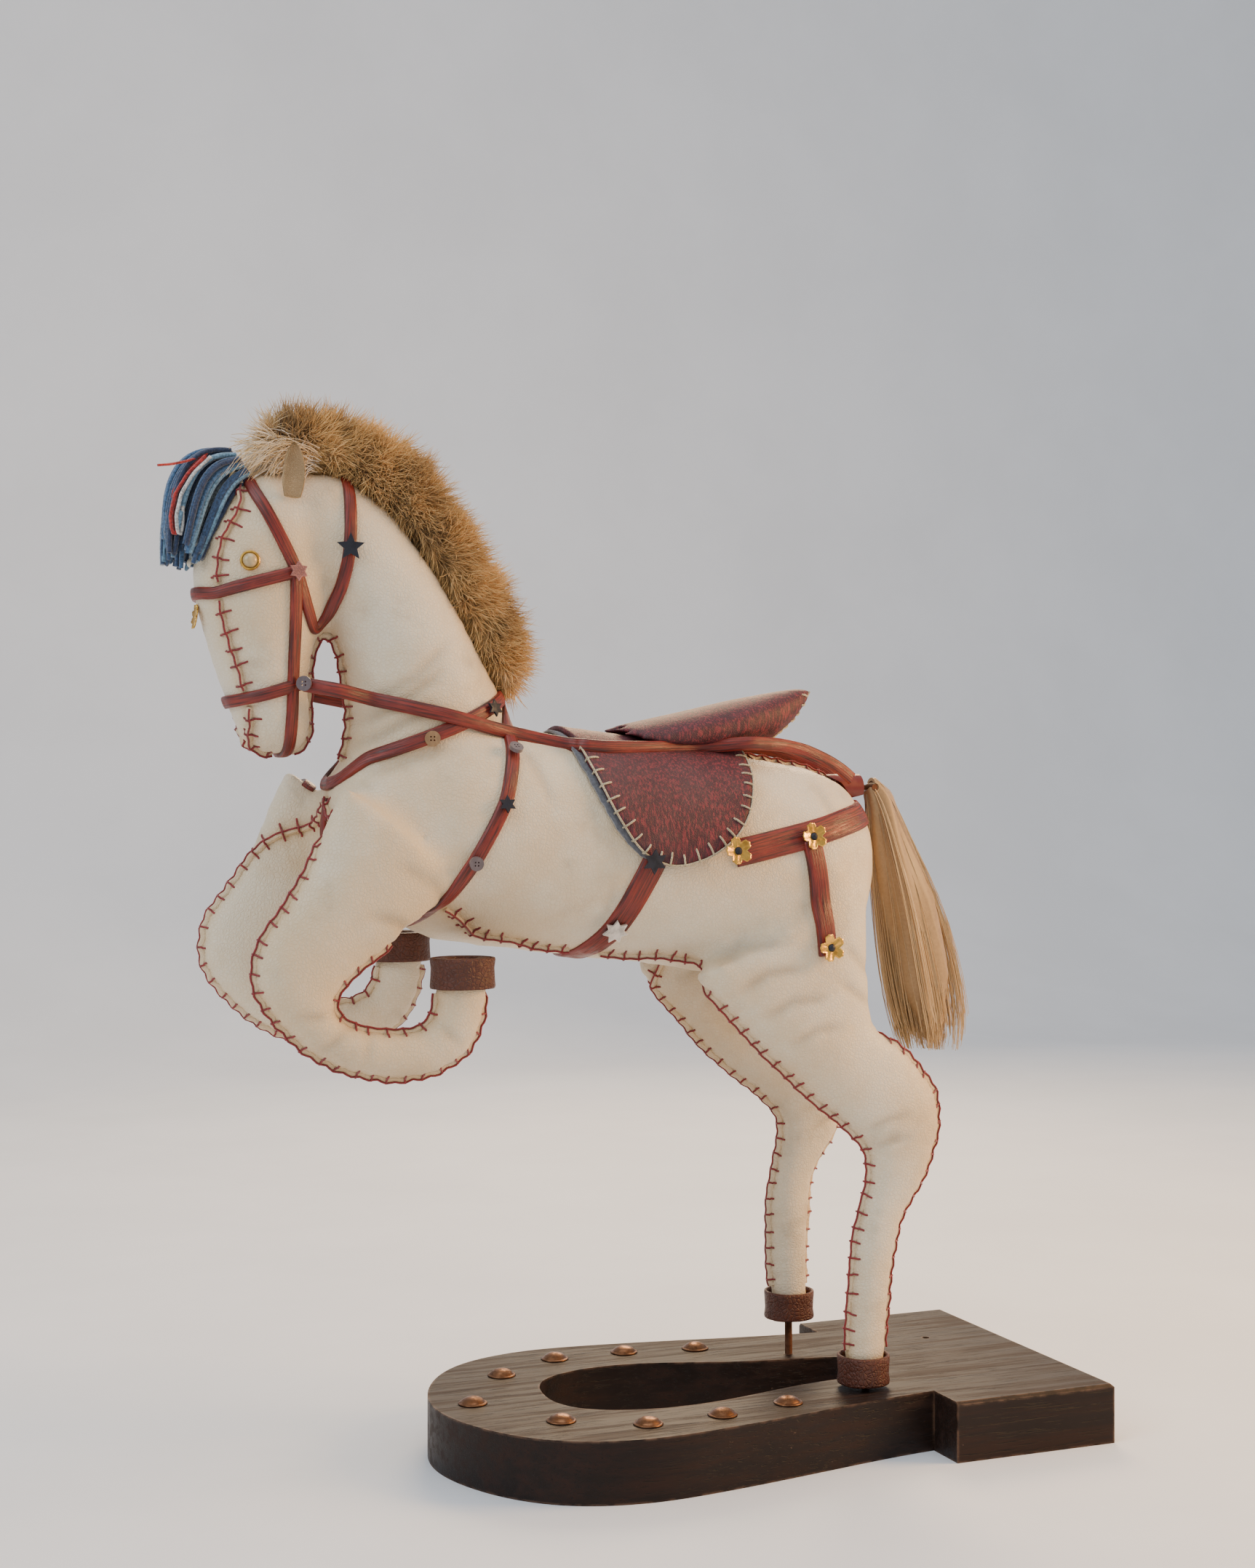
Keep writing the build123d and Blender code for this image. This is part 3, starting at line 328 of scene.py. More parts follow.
def pebble_group():
    """Leather pebbling: cells with soft furrows over fine pores."""
    tree, inp, out = group_tree("Leather pebble", "ShaderNodeTree",
                                {"Scale": ("NodeSocketFloat", 900.0)},
                                {"Height": "NodeSocketFloat", "Furrow": "NodeSocketFloat"})
    place = object_coords(tree)
    bend = node(tree, "ShaderNodeTexNoise", {"Vector": place, "Scale": 160.0, "Detail": 2.0})
    bent = node(tree, "ShaderNodeVectorMath", {0: bend.outputs["Color"], 3: 0.0022},
                operation="SCALE")
    moved = node(tree, "ShaderNodeVectorMath", {0: place, 1: bent.outputs[0]}, operation="ADD")
    cells = node(tree, "ShaderNodeTexVoronoi", {"Vector": moved.outputs[0], "Scale": inp["Scale"]},
                 feature="DISTANCE_TO_EDGE")
    furrow = remap(tree, cells.outputs["Distance"], 0.0, 0.22, 1.0, 0.0)
    pores = node(tree, "ShaderNodeTexNoise", {"Vector": place, "Scale": 2600.0, "Detail": 3.0})
    height = maths(tree, "SUBTRACT", maths(tree, "MULTIPLY", pores.outputs[0], 0.5), furrow)
    tree.links.new(height, out["Height"])
    tree.links.new(furrow, out["Furrow"])
    return tree


def cloud_group():
    """Soft uneven clouds of age and handling."""
    tree, inp, out = group_tree("Handling clouds", "ShaderNodeTree",
                                {"Scale": ("NodeSocketFloat", 14.0),
                                 "Low": ("NodeSocketFloat", 0.45),
                                 "High": ("NodeSocketFloat", 0.7)},
                                {"Mask": "NodeSocketFloat"})
    cloud = node(tree, "ShaderNodeTexNoise", {"Vector": object_coords(tree), "Scale": inp["Scale"],
                                              "Detail": 5.0, "Roughness": 0.62})
    tree.links.new(remap(tree, cloud.outputs[0], inp["Low"], inp["High"]), out["Mask"])
    return tree


def wear_group():
    """Where an edge is rubbed, broken up by noise."""
    tree, inp, out = group_tree("Rubbed edges", "ShaderNodeTree",
                                {"Radius": ("NodeSocketFloat", 0.0012),
                                 "Strength": ("NodeSocketFloat", 1.0)},
                                {"Mask": "NodeSocketFloat"})
    bevel = node(tree, "ShaderNodeBevel", {"Radius": inp["Radius"]}, samples=4)
    plain = node(tree, "ShaderNodeNewGeometry").outputs["Normal"]
    dot = node(tree, "ShaderNodeVectorMath", {0: bevel.outputs[0], 1: plain},
               operation="DOT_PRODUCT").outputs["Value"]
    edge = remap(tree, dot, 0.999, 0.93)
    broken = node(tree, "ShaderNodeTexNoise", {"Vector": object_coords(tree), "Scale": 190.0,
                                               "Detail": 4.0})
    rubbed = maths(tree, "MULTIPLY", edge, remap(tree, broken.outputs[0], 0.35, 0.62))
    tree.links.new(maths(tree, "MULTIPLY", rubbed, inp["Strength"], clamp=True), out["Mask"])
    return tree


def streak_group():
    """Streaks that run along a strap, read from its own UV map in metres."""
    tree, inp, out = group_tree("Strap streaks", "ShaderNodeTree",
                                {"Along": ("NodeSocketFloat", 45.0),
                                 "Across": ("NodeSocketFloat", 900.0)},
                                {"Streak": "NodeSocketFloat"})
    uv = node(tree, "ShaderNodeUVMap", uv_map="UVMap").outputs[0]
    scale = node(tree, "ShaderNodeCombineXYZ", {"X": inp["Along"], "Y": inp["Across"]})
    run = node(tree, "ShaderNodeVectorMath", {0: uv, 1: scale.outputs[0]}, operation="MULTIPLY")
    grain = node(tree, "ShaderNodeTexNoise", {"Vector": run.outputs[0], "Scale": 1.0,
                                              "Detail": 4.0, "Roughness": 0.6})
    tree.links.new(remap(tree, grain.outputs[0], 0.38, 0.66), out["Streak"])
    return tree


def shared(name):
    """The named shader group, built the first time it is asked for."""
    builders = {"Leather pebble": pebble_group, "Handling clouds": cloud_group,
                "Rubbed edges": wear_group, "Strap streaks": streak_group}
    return bpy.data.node_groups.get(name) or builders[name]()


def effect(tree, name, **values):
    made = node(tree, "ShaderNodeGroup", node_tree=shared(name))
    for key, value in values.items():
        made.inputs[key].default_value = value
    return made.outputs


def new_material(name, roughness=0.5, metallic=0.0, **plain):
    """A material with its Principled shader; plain values are set on the shader's sockets."""
    made = bpy.data.materials.new(LOOK + name)
    made.use_nodes = True
    shader = made.node_tree.nodes["Principled BSDF"]
    shader.inputs["Roughness"].default_value = roughness
    shader.inputs["Metallic"].default_value = metallic
    for key, value in plain.items():
        shader.inputs[key.replace("_", " ")].default_value = value
    return made, made.node_tree, shader


def clouds(tree, scale, low, high):
    """Mask of the handling clouds at a scale, between two levels."""
    return effect(tree, "Handling clouds", Scale=scale, Low=low, High=high)["Mask"]


def times(tree, value, share, clamp=False):
    """A value times a share."""
    return maths(tree, "MULTIPLY", value, share, clamp)


def dimmed(base_colour, share):
    """A colour made darker or lighter."""
    return [min(1.0, c * share) for c in base_colour]


def roughen(tree, shader, mask, low, high, start=0.0, end=1.0):
    """Drive the roughness from a mask."""
    tree.links.new(remap(tree, mask, start, end, low, high), shader.inputs["Roughness"])


def bump(tree, shader, height, distance, strength=1.0):
    made = node(tree, "ShaderNodeBump", {"Height": height, "Distance": distance,
                                         "Strength": strength})
    tree.links.new(made.outputs[0], shader.inputs["Normal"])


def paint(tree, shader, value):
    tree.links.new(value, shader.inputs["Base Color"])


def attribute(tree, name):
    return node(tree, "ShaderNodeAttribute", attribute_name=name,
                attribute_type="GEOMETRY").outputs["Fac"]


def white_leather():
    s = bpy.context.scene.horse_body
    made, tree, shader = new_material("white_leather", 0.46, Specular_IOR_Level=0.42,
                                      Sheen_Weight=0.05)
    grain = effect(tree, "Leather pebble", Scale=760.0)
    warm = clouds(tree, 15.0, 0.40, 0.66)
    grey = clouds(tree, 42.0, 0.54, 0.74)
    base = mix(tree, times(tree, warm, 0.42), s.leather, s.ochre)
    base = mix(tree, times(tree, grey, 0.34), base, s.stain)
    base = mix(tree, times(tree, attribute(tree, "seam_dirt"), 0.62, clamp=True),
               base, s.ochre)
    # painted shade: the leather is darkened towards the stain colour in the creases
    base = mix(tree, times(tree, attribute(tree, "crease"), 0.60, clamp=True),
               base, s.stain)
    paint(tree, shader, mix(tree, times(tree, grain["Furrow"], 0.14), base, s.ochre))
    roughen(tree, shader, grey, 0.43, 0.60)
    bump(tree, shader, grain["Height"], 0.00022, 0.55)
    return made


def strap_leather():
    s = bpy.context.scene.horse_harness
    made, tree, shader = new_material("strap_leather", 0.42, Specular_IOR_Level=0.5)
    streak = effect(tree, "Strap streaks", Along=55.0, Across=1500.0)["Streak"]
    worn = clouds(tree, 120.0, 0.42, 0.66)
    rubbed = mix(tree, times(tree, worn, 0.45), s.red, (0.30, 0.042, 0.022))
    paint(tree, shader, mix(tree, times(tree, streak, 0.86), rubbed, s.dark))
    roughen(tree, shader, worn, 0.36, 0.58)
    bump(tree, shader, streak, 0.00018, 0.5)
    return made


def saddle_leather():
    s = bpy.context.scene.horse_saddle
    made, tree, shader = new_material("saddle_leather", 0.55, Specular_IOR_Level=0.35)
    grain = effect(tree, "Leather pebble", Scale=1100.0)
    place = object_coords(tree, (1100.0, 1100.0, 150.0))
    flecks = node(tree, "ShaderNodeTexNoise", {"Vector": place, "Scale": 1.0, "Detail": 5.0,
                                               "Roughness": 0.72})
    broad = clouds(tree, 26.0, 0.36, 0.70)
    fleck = times(tree, remap(tree, flecks.outputs[0], 0.47, 0.62), 0.72)
    base = mix(tree, fleck, s.plum, s.rose)
    worn = mix(tree, times(tree, broad, 0.32), base, (0.115, 0.075, 0.078))
    paint(tree, shader, worn)
    bump(tree, shader, grain["Height"], 0.00016, 0.5)
    return made


def suede():
    s = bpy.context.scene.horse_saddle
    made, tree, shader = new_material("grey_suede", 0.9, Sheen_Weight=0.5)
    nap = clouds(tree, 900.0, 0.3, 0.7)
    paint(tree, shader, mix(tree, nap, dimmed(s.suede, 0.6), s.suede))
    bump(tree, shader, nap, 0.0002, 0.6)
    return made


def grained_leather(name, base_colour, dark_share, scale, roughness):
    """Plain coloured leather with pebbling, clouds and rubbed edges."""
    made, tree, shader = new_material(name, roughness, Specular_IOR_Level=0.4)
    grain = effect(tree, "Leather pebble", Scale=scale)
    cloud = clouds(tree, 70.0, 0.35, 0.7)
    edge = effect(tree, "Rubbed edges", Radius=0.0008, Strength=0.6)["Mask"]
    dark = dimmed(base_colour, dark_share)
    tone = mix(tree, times(tree, cloud, 0.7), base_colour, dark)
    tone = mix(tree, times(tree, grain["Furrow"], 0.5), tone, dark)
    paint(tree, shader, mix(tree, edge, tone, dimmed(base_colour, 2.2)))
    bump(tree, shader, grain["Height"], 0.0003, 0.7)
    return made


def thread(name, base_colour):
    """Waxed, twisted thread."""
    made, tree, shader = new_material(name, 0.55, Sheen_Weight=0.25)
    twist = node(tree, "ShaderNodeTexNoise", {"Vector": object_coords(tree), "Scale": 2400.0,
                                              "Detail": 2.0})
    soiled = clouds(tree, 55.0, 0.4, 0.7)
    dark = dimmed(base_colour, 0.42)
    tone = mix(tree, remap(tree, twist.outputs[0], 0.35, 0.65), dark, base_colour)
    paint(tree, shader, mix(tree, times(tree, soiled, 0.5), tone, dark))
    bump(tree, shader, twist.outputs[0], 0.0001, 0.5)
    return made


def hair(name, root_colour, tip_colour, roughness):
    """Hair whose strands vary, from their tint and rise attributes."""
    made, tree, shader = new_material(name, roughness, Specular_IOR_Level=0.35, Sheen_Weight=0.2)
    tint, rise = attribute(tree, "tint"), attribute(tree, "rise")
    fibre = node(tree, "ShaderNodeTexNoise", {"Vector": object_coords(tree), "Scale": 900.0})
    share = maths(tree, "ADD", times(tree, tint, 0.72),
                  times(tree, rise, 0.55))
    share = times(tree, share,
                  remap(tree, fibre.outputs[0], 0.2, 0.8, 0.82, 1.12), clamp=True)
    pale = maths(tree, "SUBTRACT", tint, 1.0, clamp=True)
    tone = mix(tree, share, root_colour, tip_colour)
    paint(tree, shader, mix(tree, pale, tone, (0.86, 0.80, 0.70)))
    roughen(tree, shader, fibre.outputs[0], roughness - 0.08, roughness + 0.1, 0.2, 0.8)
    return made


def yarn_wool():
    """Plied wool, coloured strand by strand from its own attribute."""
    made, tree, shader = new_material("yarn_wool", 0.85, Sheen_Weight=0.4)
    own = node(tree, "ShaderNodeAttribute", attribute_name="dye", attribute_type="GEOMETRY")
    ply = node(tree, "ShaderNodeTexNoise", {"Vector": object_coords(tree), "Scale": 1300.0,
                                            "Detail": 3.0})
    shade = remap(tree, ply.outputs[0], 0.3, 0.7, 0.45, 1.15)
    tone = node(tree, "ShaderNodeVectorMath", {0: own.outputs["Color"], 3: shade},
                operation="SCALE")
    paint(tree, shader, tone.outputs[0])
    bump(tree, shader, ply.outputs[0], 0.0004, 0.8)
    return made


def metal(name, base_colour, roughness, dark_share=0.25, edge_gain=1.6, metallic=1.0):
    """Aged metal: patina in the hollows, bright where it is rubbed."""
    made, tree, shader = new_material(name, roughness, metallic)
    patina = clouds(tree, 260.0, 0.40, 0.66)
    edge = effect(tree, "Rubbed edges", Radius=0.0006, Strength=0.9)["Mask"]
    dark = dimmed(base_colour, dark_share)
    tone = mix(tree, times(tree, patina, 0.62), base_colour, dark)
    paint(tree, shader, mix(tree, edge, tone, dimmed(base_colour, edge_gain)))
    roughen(tree, shader, patina, roughness, roughness + 0.25)
    bump(tree, shader, patina, 0.00012, 0.5)
    return made


def pearl(name, base_colour, roughness):
    """Polished bone, horn or pearl with faint cloudy layers."""
    made, tree, shader = new_material(name, roughness, Coat_Weight=0.5, Coat_Roughness=0.12)
    layer = node(tree, "ShaderNodeTexWave", {"Vector": object_coords(tree), "Scale": 160.0,
                                             "Distortion": 9.0, "Detail": 3.0})
    cloud = clouds(tree, 190.0, 0.35, 0.7)
    tone = mix(tree, times(tree, layer.outputs[1], 0.35), base_colour,
               dimmed(base_colour, 0.55))
    paint(tree, shader, mix(tree, times(tree, cloud, 0.4), tone,
                            dimmed(base_colour, 0.4)))
    return made


def stained_wood():
    s = bpy.context.scene.horse_base
    made, tree, shader = new_material("stained_wood", 0.5, Specular_IOR_Level=0.22)
    warp = node(tree, "ShaderNodeTexNoise", {"Vector": object_coords(tree), "Scale": 9.0,
                                             "Detail": 2.0})
    drift = node(tree, "ShaderNodeVectorMath", {0: warp.outputs["Color"], 3: 0.9},
                 operation="SCALE")
    lines = node(tree, "ShaderNodeVectorMath", {0: object_coords(tree, (9.0, 210.0, 210.0)),
                                                1: drift.outputs[0]}, operation="ADD")
    grain = node(tree, "ShaderNodeTexNoise", {"Vector": lines.outputs[0], "Scale": 1.0,
                                              "Detail": 6.0, "Roughness": 0.65})
    pores = node(tree, "ShaderNodeTexNoise", {"Vector": object_coords(tree, (60.0, 1500.0, 1500.0)),
                                              "Scale": 1.0, "Detail": 3.0})
    streak = remap(tree, grain.outputs[0], 0.40, 0.66)
    pore = remap(tree, pores.outputs[0], 0.58, 0.68)
    edge = effect(tree, "Rubbed edges", Radius=0.0016, Strength=0.75)["Mask"]
    nick = clouds(tree, 240.0, 0.70, 0.76)
    dust = clouds(tree, 12.0, 0.40, 0.75)
    tone = mix(tree, streak, s.wood, s.grain)
    tone = mix(tree, times(tree, pore, 0.7), tone, (0.006, 0.004, 0.003))
    tone = mix(tree, times(tree, dust, 0.05), tone, (0.12, 0.085, 0.068))
    tone = mix(tree, maths(tree, "MAXIMUM", edge, times(tree, nick, 0.5)), tone,
               (0.17, 0.098, 0.062))
    paint(tree, shader, tone)
    roughen(tree, shader, streak, 0.44, 0.62)
    relief = maths(tree, "SUBTRACT", times(tree, streak, 0.4),
                   maths(tree, "ADD", pore, nick))
    bump(tree, shader, relief, 0.00025, 0.6)
    return made


def stage_paint(name, base_colour):
    made, tree, shader = new_material(name, 0.7)
    cloud = clouds(tree, 5.0, 0.3, 0.7)
    paint(tree, shader, mix(tree, cloud, base_colour, dimmed(base_colour, 0.94)))
    return made


def finish_named(name):
    """The material of that name, made the first time it is asked for."""
    scene = bpy.context.scene
    metals, base, hairs = scene.horse_metal, scene.horse_base, scene.horse_hair
    makers = {
        "white_leather": white_leather, "strap_leather": strap_leather,
        "saddle_leather": saddle_leather, "grey_suede": suede, "yarn_wool": yarn_wool,
        "stained_wood": stained_wood,
        "hoof_leather": lambda: grained_leather("hoof_leather", base.hoof, 0.45, 620.0, 0.48),
        "ear_leather": lambda: grained_leather("ear_leather", base.ear, 0.6, 1500.0, 0.6),
        "rosette_leather": lambda: grained_leather("rosette_leather", (0.42, 0.17, 0.15), 0.4,
                                                   1500.0, 0.6),
        "crimson_thread": lambda: thread("crimson_thread", scene.horse_stitch.crimson),
        "cream_thread": lambda: thread("cream_thread", scene.horse_stitch.cream),
        "mane_fur": lambda: hair("mane_fur", hairs.fur_root, hairs.fur_tip, 0.7),
        "horsehair": lambda: hair("horsehair", hairs.hair_dark, hairs.hair_light, 0.42),
        "gold_brass": lambda: metal("gold_brass", metals.gold, 0.26, 0.16),
        "antique_brass": lambda: metal("antique_brass", metals.brass, 0.32, 0.25, 1.5),
        "dark_metal": lambda: metal("dark_metal", metals.dark_metal, 0.45, 0.5, 1.6, 0.3),
        "silver_metal": lambda: metal("silver_metal", metals.silver, 0.34, 0.45, 1.4, 0.5),
        "rusty_iron": lambda: metal("rusty_iron", metals.rust, 0.7, 0.35, 1.8, 0.5),
        "eye_pearl": lambda: pearl("eye_pearl", metals.pearl, 0.25),
        "button_wood": lambda: pearl("button_wood", (0.30, 0.17, 0.07), 0.35),
        "bone": lambda: pearl("bone", metals.bone, 0.35),
        "horn": lambda: pearl("horn", metals.horn, 0.4),
    }
    return bpy.data.materials.get(LOOK + name) or makers[name]()


# ---- meshes --------------------------------------------------------------------------
def coordinates(mesh):
    co = np.empty(len(mesh.vertices) * 3, np.float32)
    mesh.vertices.foreach_get("co", co)
    return co.reshape(-1, 3).astype(float)


def corner_triples(mesh):
    mesh.calc_loop_triangles()
    corners = np.empty(len(mesh.loop_triangles) * 3, np.int32)
    mesh.loop_triangles.foreach_get("vertices", corners)
    return corners.reshape(-1, 3)


def vertex_normals(mesh):
    normals = np.empty(len(mesh.vertices) * 3, np.float32)
    mesh.vertex_normals.foreach_get("vector", normals)
    return normals.reshape(-1, 3).astype(float)


def unit(vectors):
    return vectors / np.maximum(np.linalg.norm(vectors, axis=-1, keepdims=True), 1e-12)


def bare_object(name, points, faces, edges=()):
    mesh = bpy.data.meshes.new(name)
    mesh.from_pydata([tuple(p) for p in points], list(edges), faces)
    mesh.update()
    return linked(name, mesh)


def linked(name, data):
    """A new object of that data in the scene."""
    made = bpy.data.objects.new(name, data)
    bpy.context.scene.collection.objects.link(made)
    return made


def mark(mesh, label, values):
    """Store one number for every vertex."""
    mesh.attributes.new(label, "FLOAT", "POINT").data.foreach_set("value", values)


def subdivided(obj):
    """The object after one real level of subdivision."""
    split = obj.modifiers.new("Subdivision", "SUBSURF")
    split.levels = split.render_levels = 1
    return baked(obj)


def point_tree(points):
    """Search tree for the nearest of many points."""
    tree = KDTree(len(points))
    for i, p in enumerate(points):
        tree.insert(p, i)
    tree.balance()
    return tree


def facing(normal):
    """Matrix that turns Z to a normal and keeps X level."""
    side = unit(np.cross((0, 0, 1), normal))
    return Matrix(np.stack([side, np.cross(normal, side), normal], 1).tolist())


def outward(mesh):
    """Merge doubles and turn every face outwards."""
    work = bmesh.new()
    work.from_mesh(mesh)
    bmesh.ops.remove_doubles(work, verts=work.verts, dist=1e-6)
    bmesh.ops.recalc_face_normals(work, faces=work.faces)
    work.to_mesh(mesh)
    work.free()
    mesh.update()


def baked(obj):
    """The object with its modifiers made real."""
    graph = bpy.context.evaluated_depsgraph_get()
    mesh = bpy.data.meshes.new_from_object(obj.evaluated_get(graph))
    obj.modifiers.clear()
    obj.data = mesh
    mesh.name = obj.name
    return obj


def dressed(obj, material, body="root", replaces=(), smooth=True):
    """Give a finished piece its material, slot, body and the CAD nodes it stands for."""
    obj.data.materials.clear()
    obj.data.materials.append(finish_named(material))
    obj.data.polygons.foreach_set("use_smooth", [smooth] * len(obj.data.polygons))
    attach(obj, body)
    if replaces:
        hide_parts(*replaces)
    return obj


def merged_copy(name, nodes):
    """One bare object from copies of CAD meshes, doubles merged."""
    work = bmesh.new()
    for label in nodes:
        work.from_mesh(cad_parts[label].data)
    bmesh.ops.remove_doubles(work, verts=work.verts, dist=1e-6)
    mesh = bpy.data.meshes.new(name)
    work.to_mesh(mesh)
    work.free()
    return linked(name, mesh)


def islands(mesh):
    """Vertex index groups of the separate solids of a mesh."""
    parent = list(range(len(mesh.vertices)))

    def root(i):
        while parent[i] != i:
            parent[i] = parent[parent[i]]
            i = parent[i]
        return i

    for edge in mesh.edges:
        parent[root(edge.vertices[0])] = root(edge.vertices[1])
    found = {}
    for i in range(len(parent)):
        found.setdefault(root(i), []).append(i)
    return list(found.values())


def keep_largest(mesh):
    """Delete every island but the one with the most vertices."""
    groups = sorted(islands(mesh), key=len)
    extra = {i for indices in groups[:-1] for i in indices}
    if extra:
        work = bmesh.new()
        work.from_mesh(mesh)
        work.verts.ensure_lookup_table()
        bmesh.ops.delete(work, geom=[work.verts[i] for i in extra], context="VERTS")
        work.to_mesh(mesh)
        work.free()
        mesh.update()


def remeshed(obj, voxel):
    change = obj.modifiers.new("Remesh", "REMESH")
    change.mode = "VOXEL"
    change.voxel_size = voxel
    baked(obj)
    keep_largest(obj.data)
    return obj


def relaxed(co, edges, times, share=0.5):
    """Points drawn towards the middle of their neighbours."""
    count = np.zeros(len(co))
    np.add.at(count, edges.ravel(), 1)
    for _ in range(times):
        total = np.zeros_like(co)
        np.add.at(total, edges[:, 0], co[edges[:, 1]])
        np.add.at(total, edges[:, 1], co[edges[:, 0]])
        co = co + share * (total / count[:, None] - co)
    return co


def edge_pairs(mesh):
    pairs = np.empty(len(mesh.edges) * 2, np.int32)
    mesh.edges.foreach_get("vertices", pairs)
    return pairs.reshape(-1, 2)


def put(mesh, co):
    mesh.vertices.foreach_set("co", co.astype(np.float32).ravel())
    mesh.update()


class Surface:
    """Nearest point, smooth normal and rays on a mesh."""

    def __init__(self, mesh):
        self.co, self.tris = coordinates(mesh), corner_triples(mesh)
        self.normals = vertex_normals(mesh)
        self.tree = BVHTree.FromPolygons(self.co.tolist(), self.tris.tolist())

    def nearest(self, point):
        hit, _, index, distance = self.tree.find_nearest(Vector(point))
        normal = self.normals[self.tris[index]].mean(0)
        return np.array(hit), normal / np.linalg.norm(normal), distance

    def ray(self, origin, direction, reach=1.0):
        hit = self.tree.ray_cast(Vector(origin), Vector(direction), reach)[0]
        return None if hit is None else np.array(hit)


# ---- lines on a surface --------------------------------------------------------------
def level_lines(co, tris, values):
    """Closed lines on a mesh along which a value given at its vertices is nought."""
    above = values >= 0
    crossed = tris[(above[tris].sum(1) % 3) != 0]
    links, places = {}, {}
    for tri in crossed.tolist():
        ends = []
        for a, b in ((tri[0], tri[1]), (tri[1], tri[2]), (tri[2], tri[0])):
            if above[a] != above[b]:
                key = (min(a, b), max(a, b))
                share = values[key[0]] / (values[key[0]] - values[key[1]])
                places[key] = co[key[0]] + share * (co[key[1]] - co[key[0]])
                ends.append(key)
        links.setdefault(ends[0], []).append(ends[1])
        links.setdefault(ends[1], []).append(ends[0])
    return [np.array([places[key] for key in loop]) for loop in traced(links) if len(loop) > 8]


def traced(links):
    """Walks along linked keys, each key used once."""
    loops, seen = [], set()
    for start in links:
        if start in seen:
            continue
        loop, here = [], start
        while here is not None:
            seen.add(here)
            loop.append(here)
            here = next((k for k in links[here] if k not in seen), None)
        loops.append(loop)
    return loops


def runs(line, kept):
    """(points, closed) stretches of a closed line where kept is true."""
    if kept.all():
        return [(line, True)]
    if not kept.any():
        return []
    first = int(np.argmin(kept))
    line, kept = np.roll(line, -first, 0), np.roll(kept, -first)
    found, current = [], []
    for point, good in zip(line, kept):
        if good:
            current.append(point)
        elif current:
            found.append(current)
            current = []
    if current:
        found.append(current)
    return [(np.array(points), False) for points in found if len(points) > 3]


def line_length(line):
    return float(np.linalg.norm(np.diff(line, axis=0), axis=1).sum())


def evenly(line, step, closed=False, passes=4):
    """The same line with its points one step apart, lightly smoothed."""
    if closed:
        line = np.vstack([line, line[:1]])
    for _ in range(passes):
        inner = line.copy()
        inner[1:-1] = (line[:-2] + 2 * line[1:-1] + line[2:]) / 4
        if closed:
            inner[0] = inner[-1] = (line[-2] + 2 * line[0] + line[1]) / 4
        line = inner
    along = np.concatenate([[0], np.cumsum(np.linalg.norm(np.diff(line, axis=0), axis=1))])
    count = max(int(round(along[-1] / step)), 3)
    wanted = np.linspace(0, along[-1], count + 1)
    if closed:
        wanted = wanted[:-1]
    return np.stack([np.interp(wanted, along, line[:, k]) for k in range(3)], 1)


def tangents(line, closed=False):
    if closed:
        return unit(np.roll(line, -1, 0) - np.roll(line, 1, 0))
    return unit(np.gradient(line, axis=0))


def smoothed_rows(rows, times, closed):
    """Average every row with its neighbours along the first axis."""
    for _ in range(times):
        before, after = np.roll(rows, 1, 0), np.roll(rows, -1, 0)
        if not closed:
            before[0], after[-1] = rows[0], rows[-1]
        rows = (before + 2 * rows + after) / 4
    return rows


def path_measure(points, path):
    """Signed distance from a profile path, and how far along it, for points (n, 3)."""
    flat = points[:, [0, 2]]
    corner = profile(path)
    best = np.full(len(flat), np.inf)
    signed, along = np.zeros(len(flat)), np.zeros(len(flat))
    done, last = 0.0, len(corner) - 2
    for i in range(len(corner) - 1):
        a, b = corner[i], corner[i + 1]
        length = np.linalg.norm(b - a)
        way = (b - a) / length
        share = (flat - a) @ way
        low = -1.0 if i == 0 else 0.0
        high = 2.0 if i == last else length
        held = np.clip(share, low, high)
        gap = flat - a - held[:, None] * way
        distance = np.linalg.norm(gap, axis=1)
        side = np.sign(way[0] * (flat[:, 1] - a[1]) - way[1] * (flat[:, 0] - a[0]))
        closer = distance < best
        best[closer] = distance[closer]
        signed[closer] = (side * distance)[closer]
        along[closer] = (done + held)[closer]
        done += length
    return signed, along, done


# ---- swept pieces --------------------------------------------------------------------
def swept(rings, closed):
    """Points and faces of a tube through rings of equally many points."""
    count, sides = rings.shape[:2]
    faces = []
    for i in range(count if closed else count - 1):
        j = (i + 1) % count
        for k in range(sides):
            m = (k + 1) % sides
            faces.append((i * sides + k, i * sides + m, j * sides + m, j * sides + k))
    if not closed:
        faces.append(tuple(range(sides))[::-1])
        faces.append(tuple((count - 1) * sides + k for k in range(sides)))
    return rings.reshape(-1, 3), faces


def gathered(name, parts, uvs=None):
    """One bare object from several (points, faces), each turned outwards."""
    points, faces, offset, sheet = [], [], 0, []
    for index, (part_points, part_faces) in enumerate(parts):
        points.extend(part_points)
        faces.extend(tuple(v + offset for v in face) for face in part_faces)
        offset += len(part_points)
        if uvs is not None:
            sheet.extend(uvs[index])
    made = bare_object(name, points, faces)
    if uvs is not None:
        layer = made.data.uv_layers.new(name="UVMap")
        corner = np.empty(len(made.data.loops), np.int32)
        made.data.loops.foreach_get("vertex_index", corner)
        layer.data.foreach_set("uv", np.array(sheet, np.float32)[corner].ravel())
    work = bmesh.new()
    work.from_mesh(made.data)
    bmesh.ops.recalc_face_normals(work, faces=work.faces)
    work.to_mesh(made.data)
    work.free()
    return made


STRAP_SECTION = ((-1.0, 0.30), (-0.93, 0.80), (-0.55, 1.0), (0.0, 1.04), (0.55, 1.0),
                 (0.93, 0.80), (1.0, 0.30))


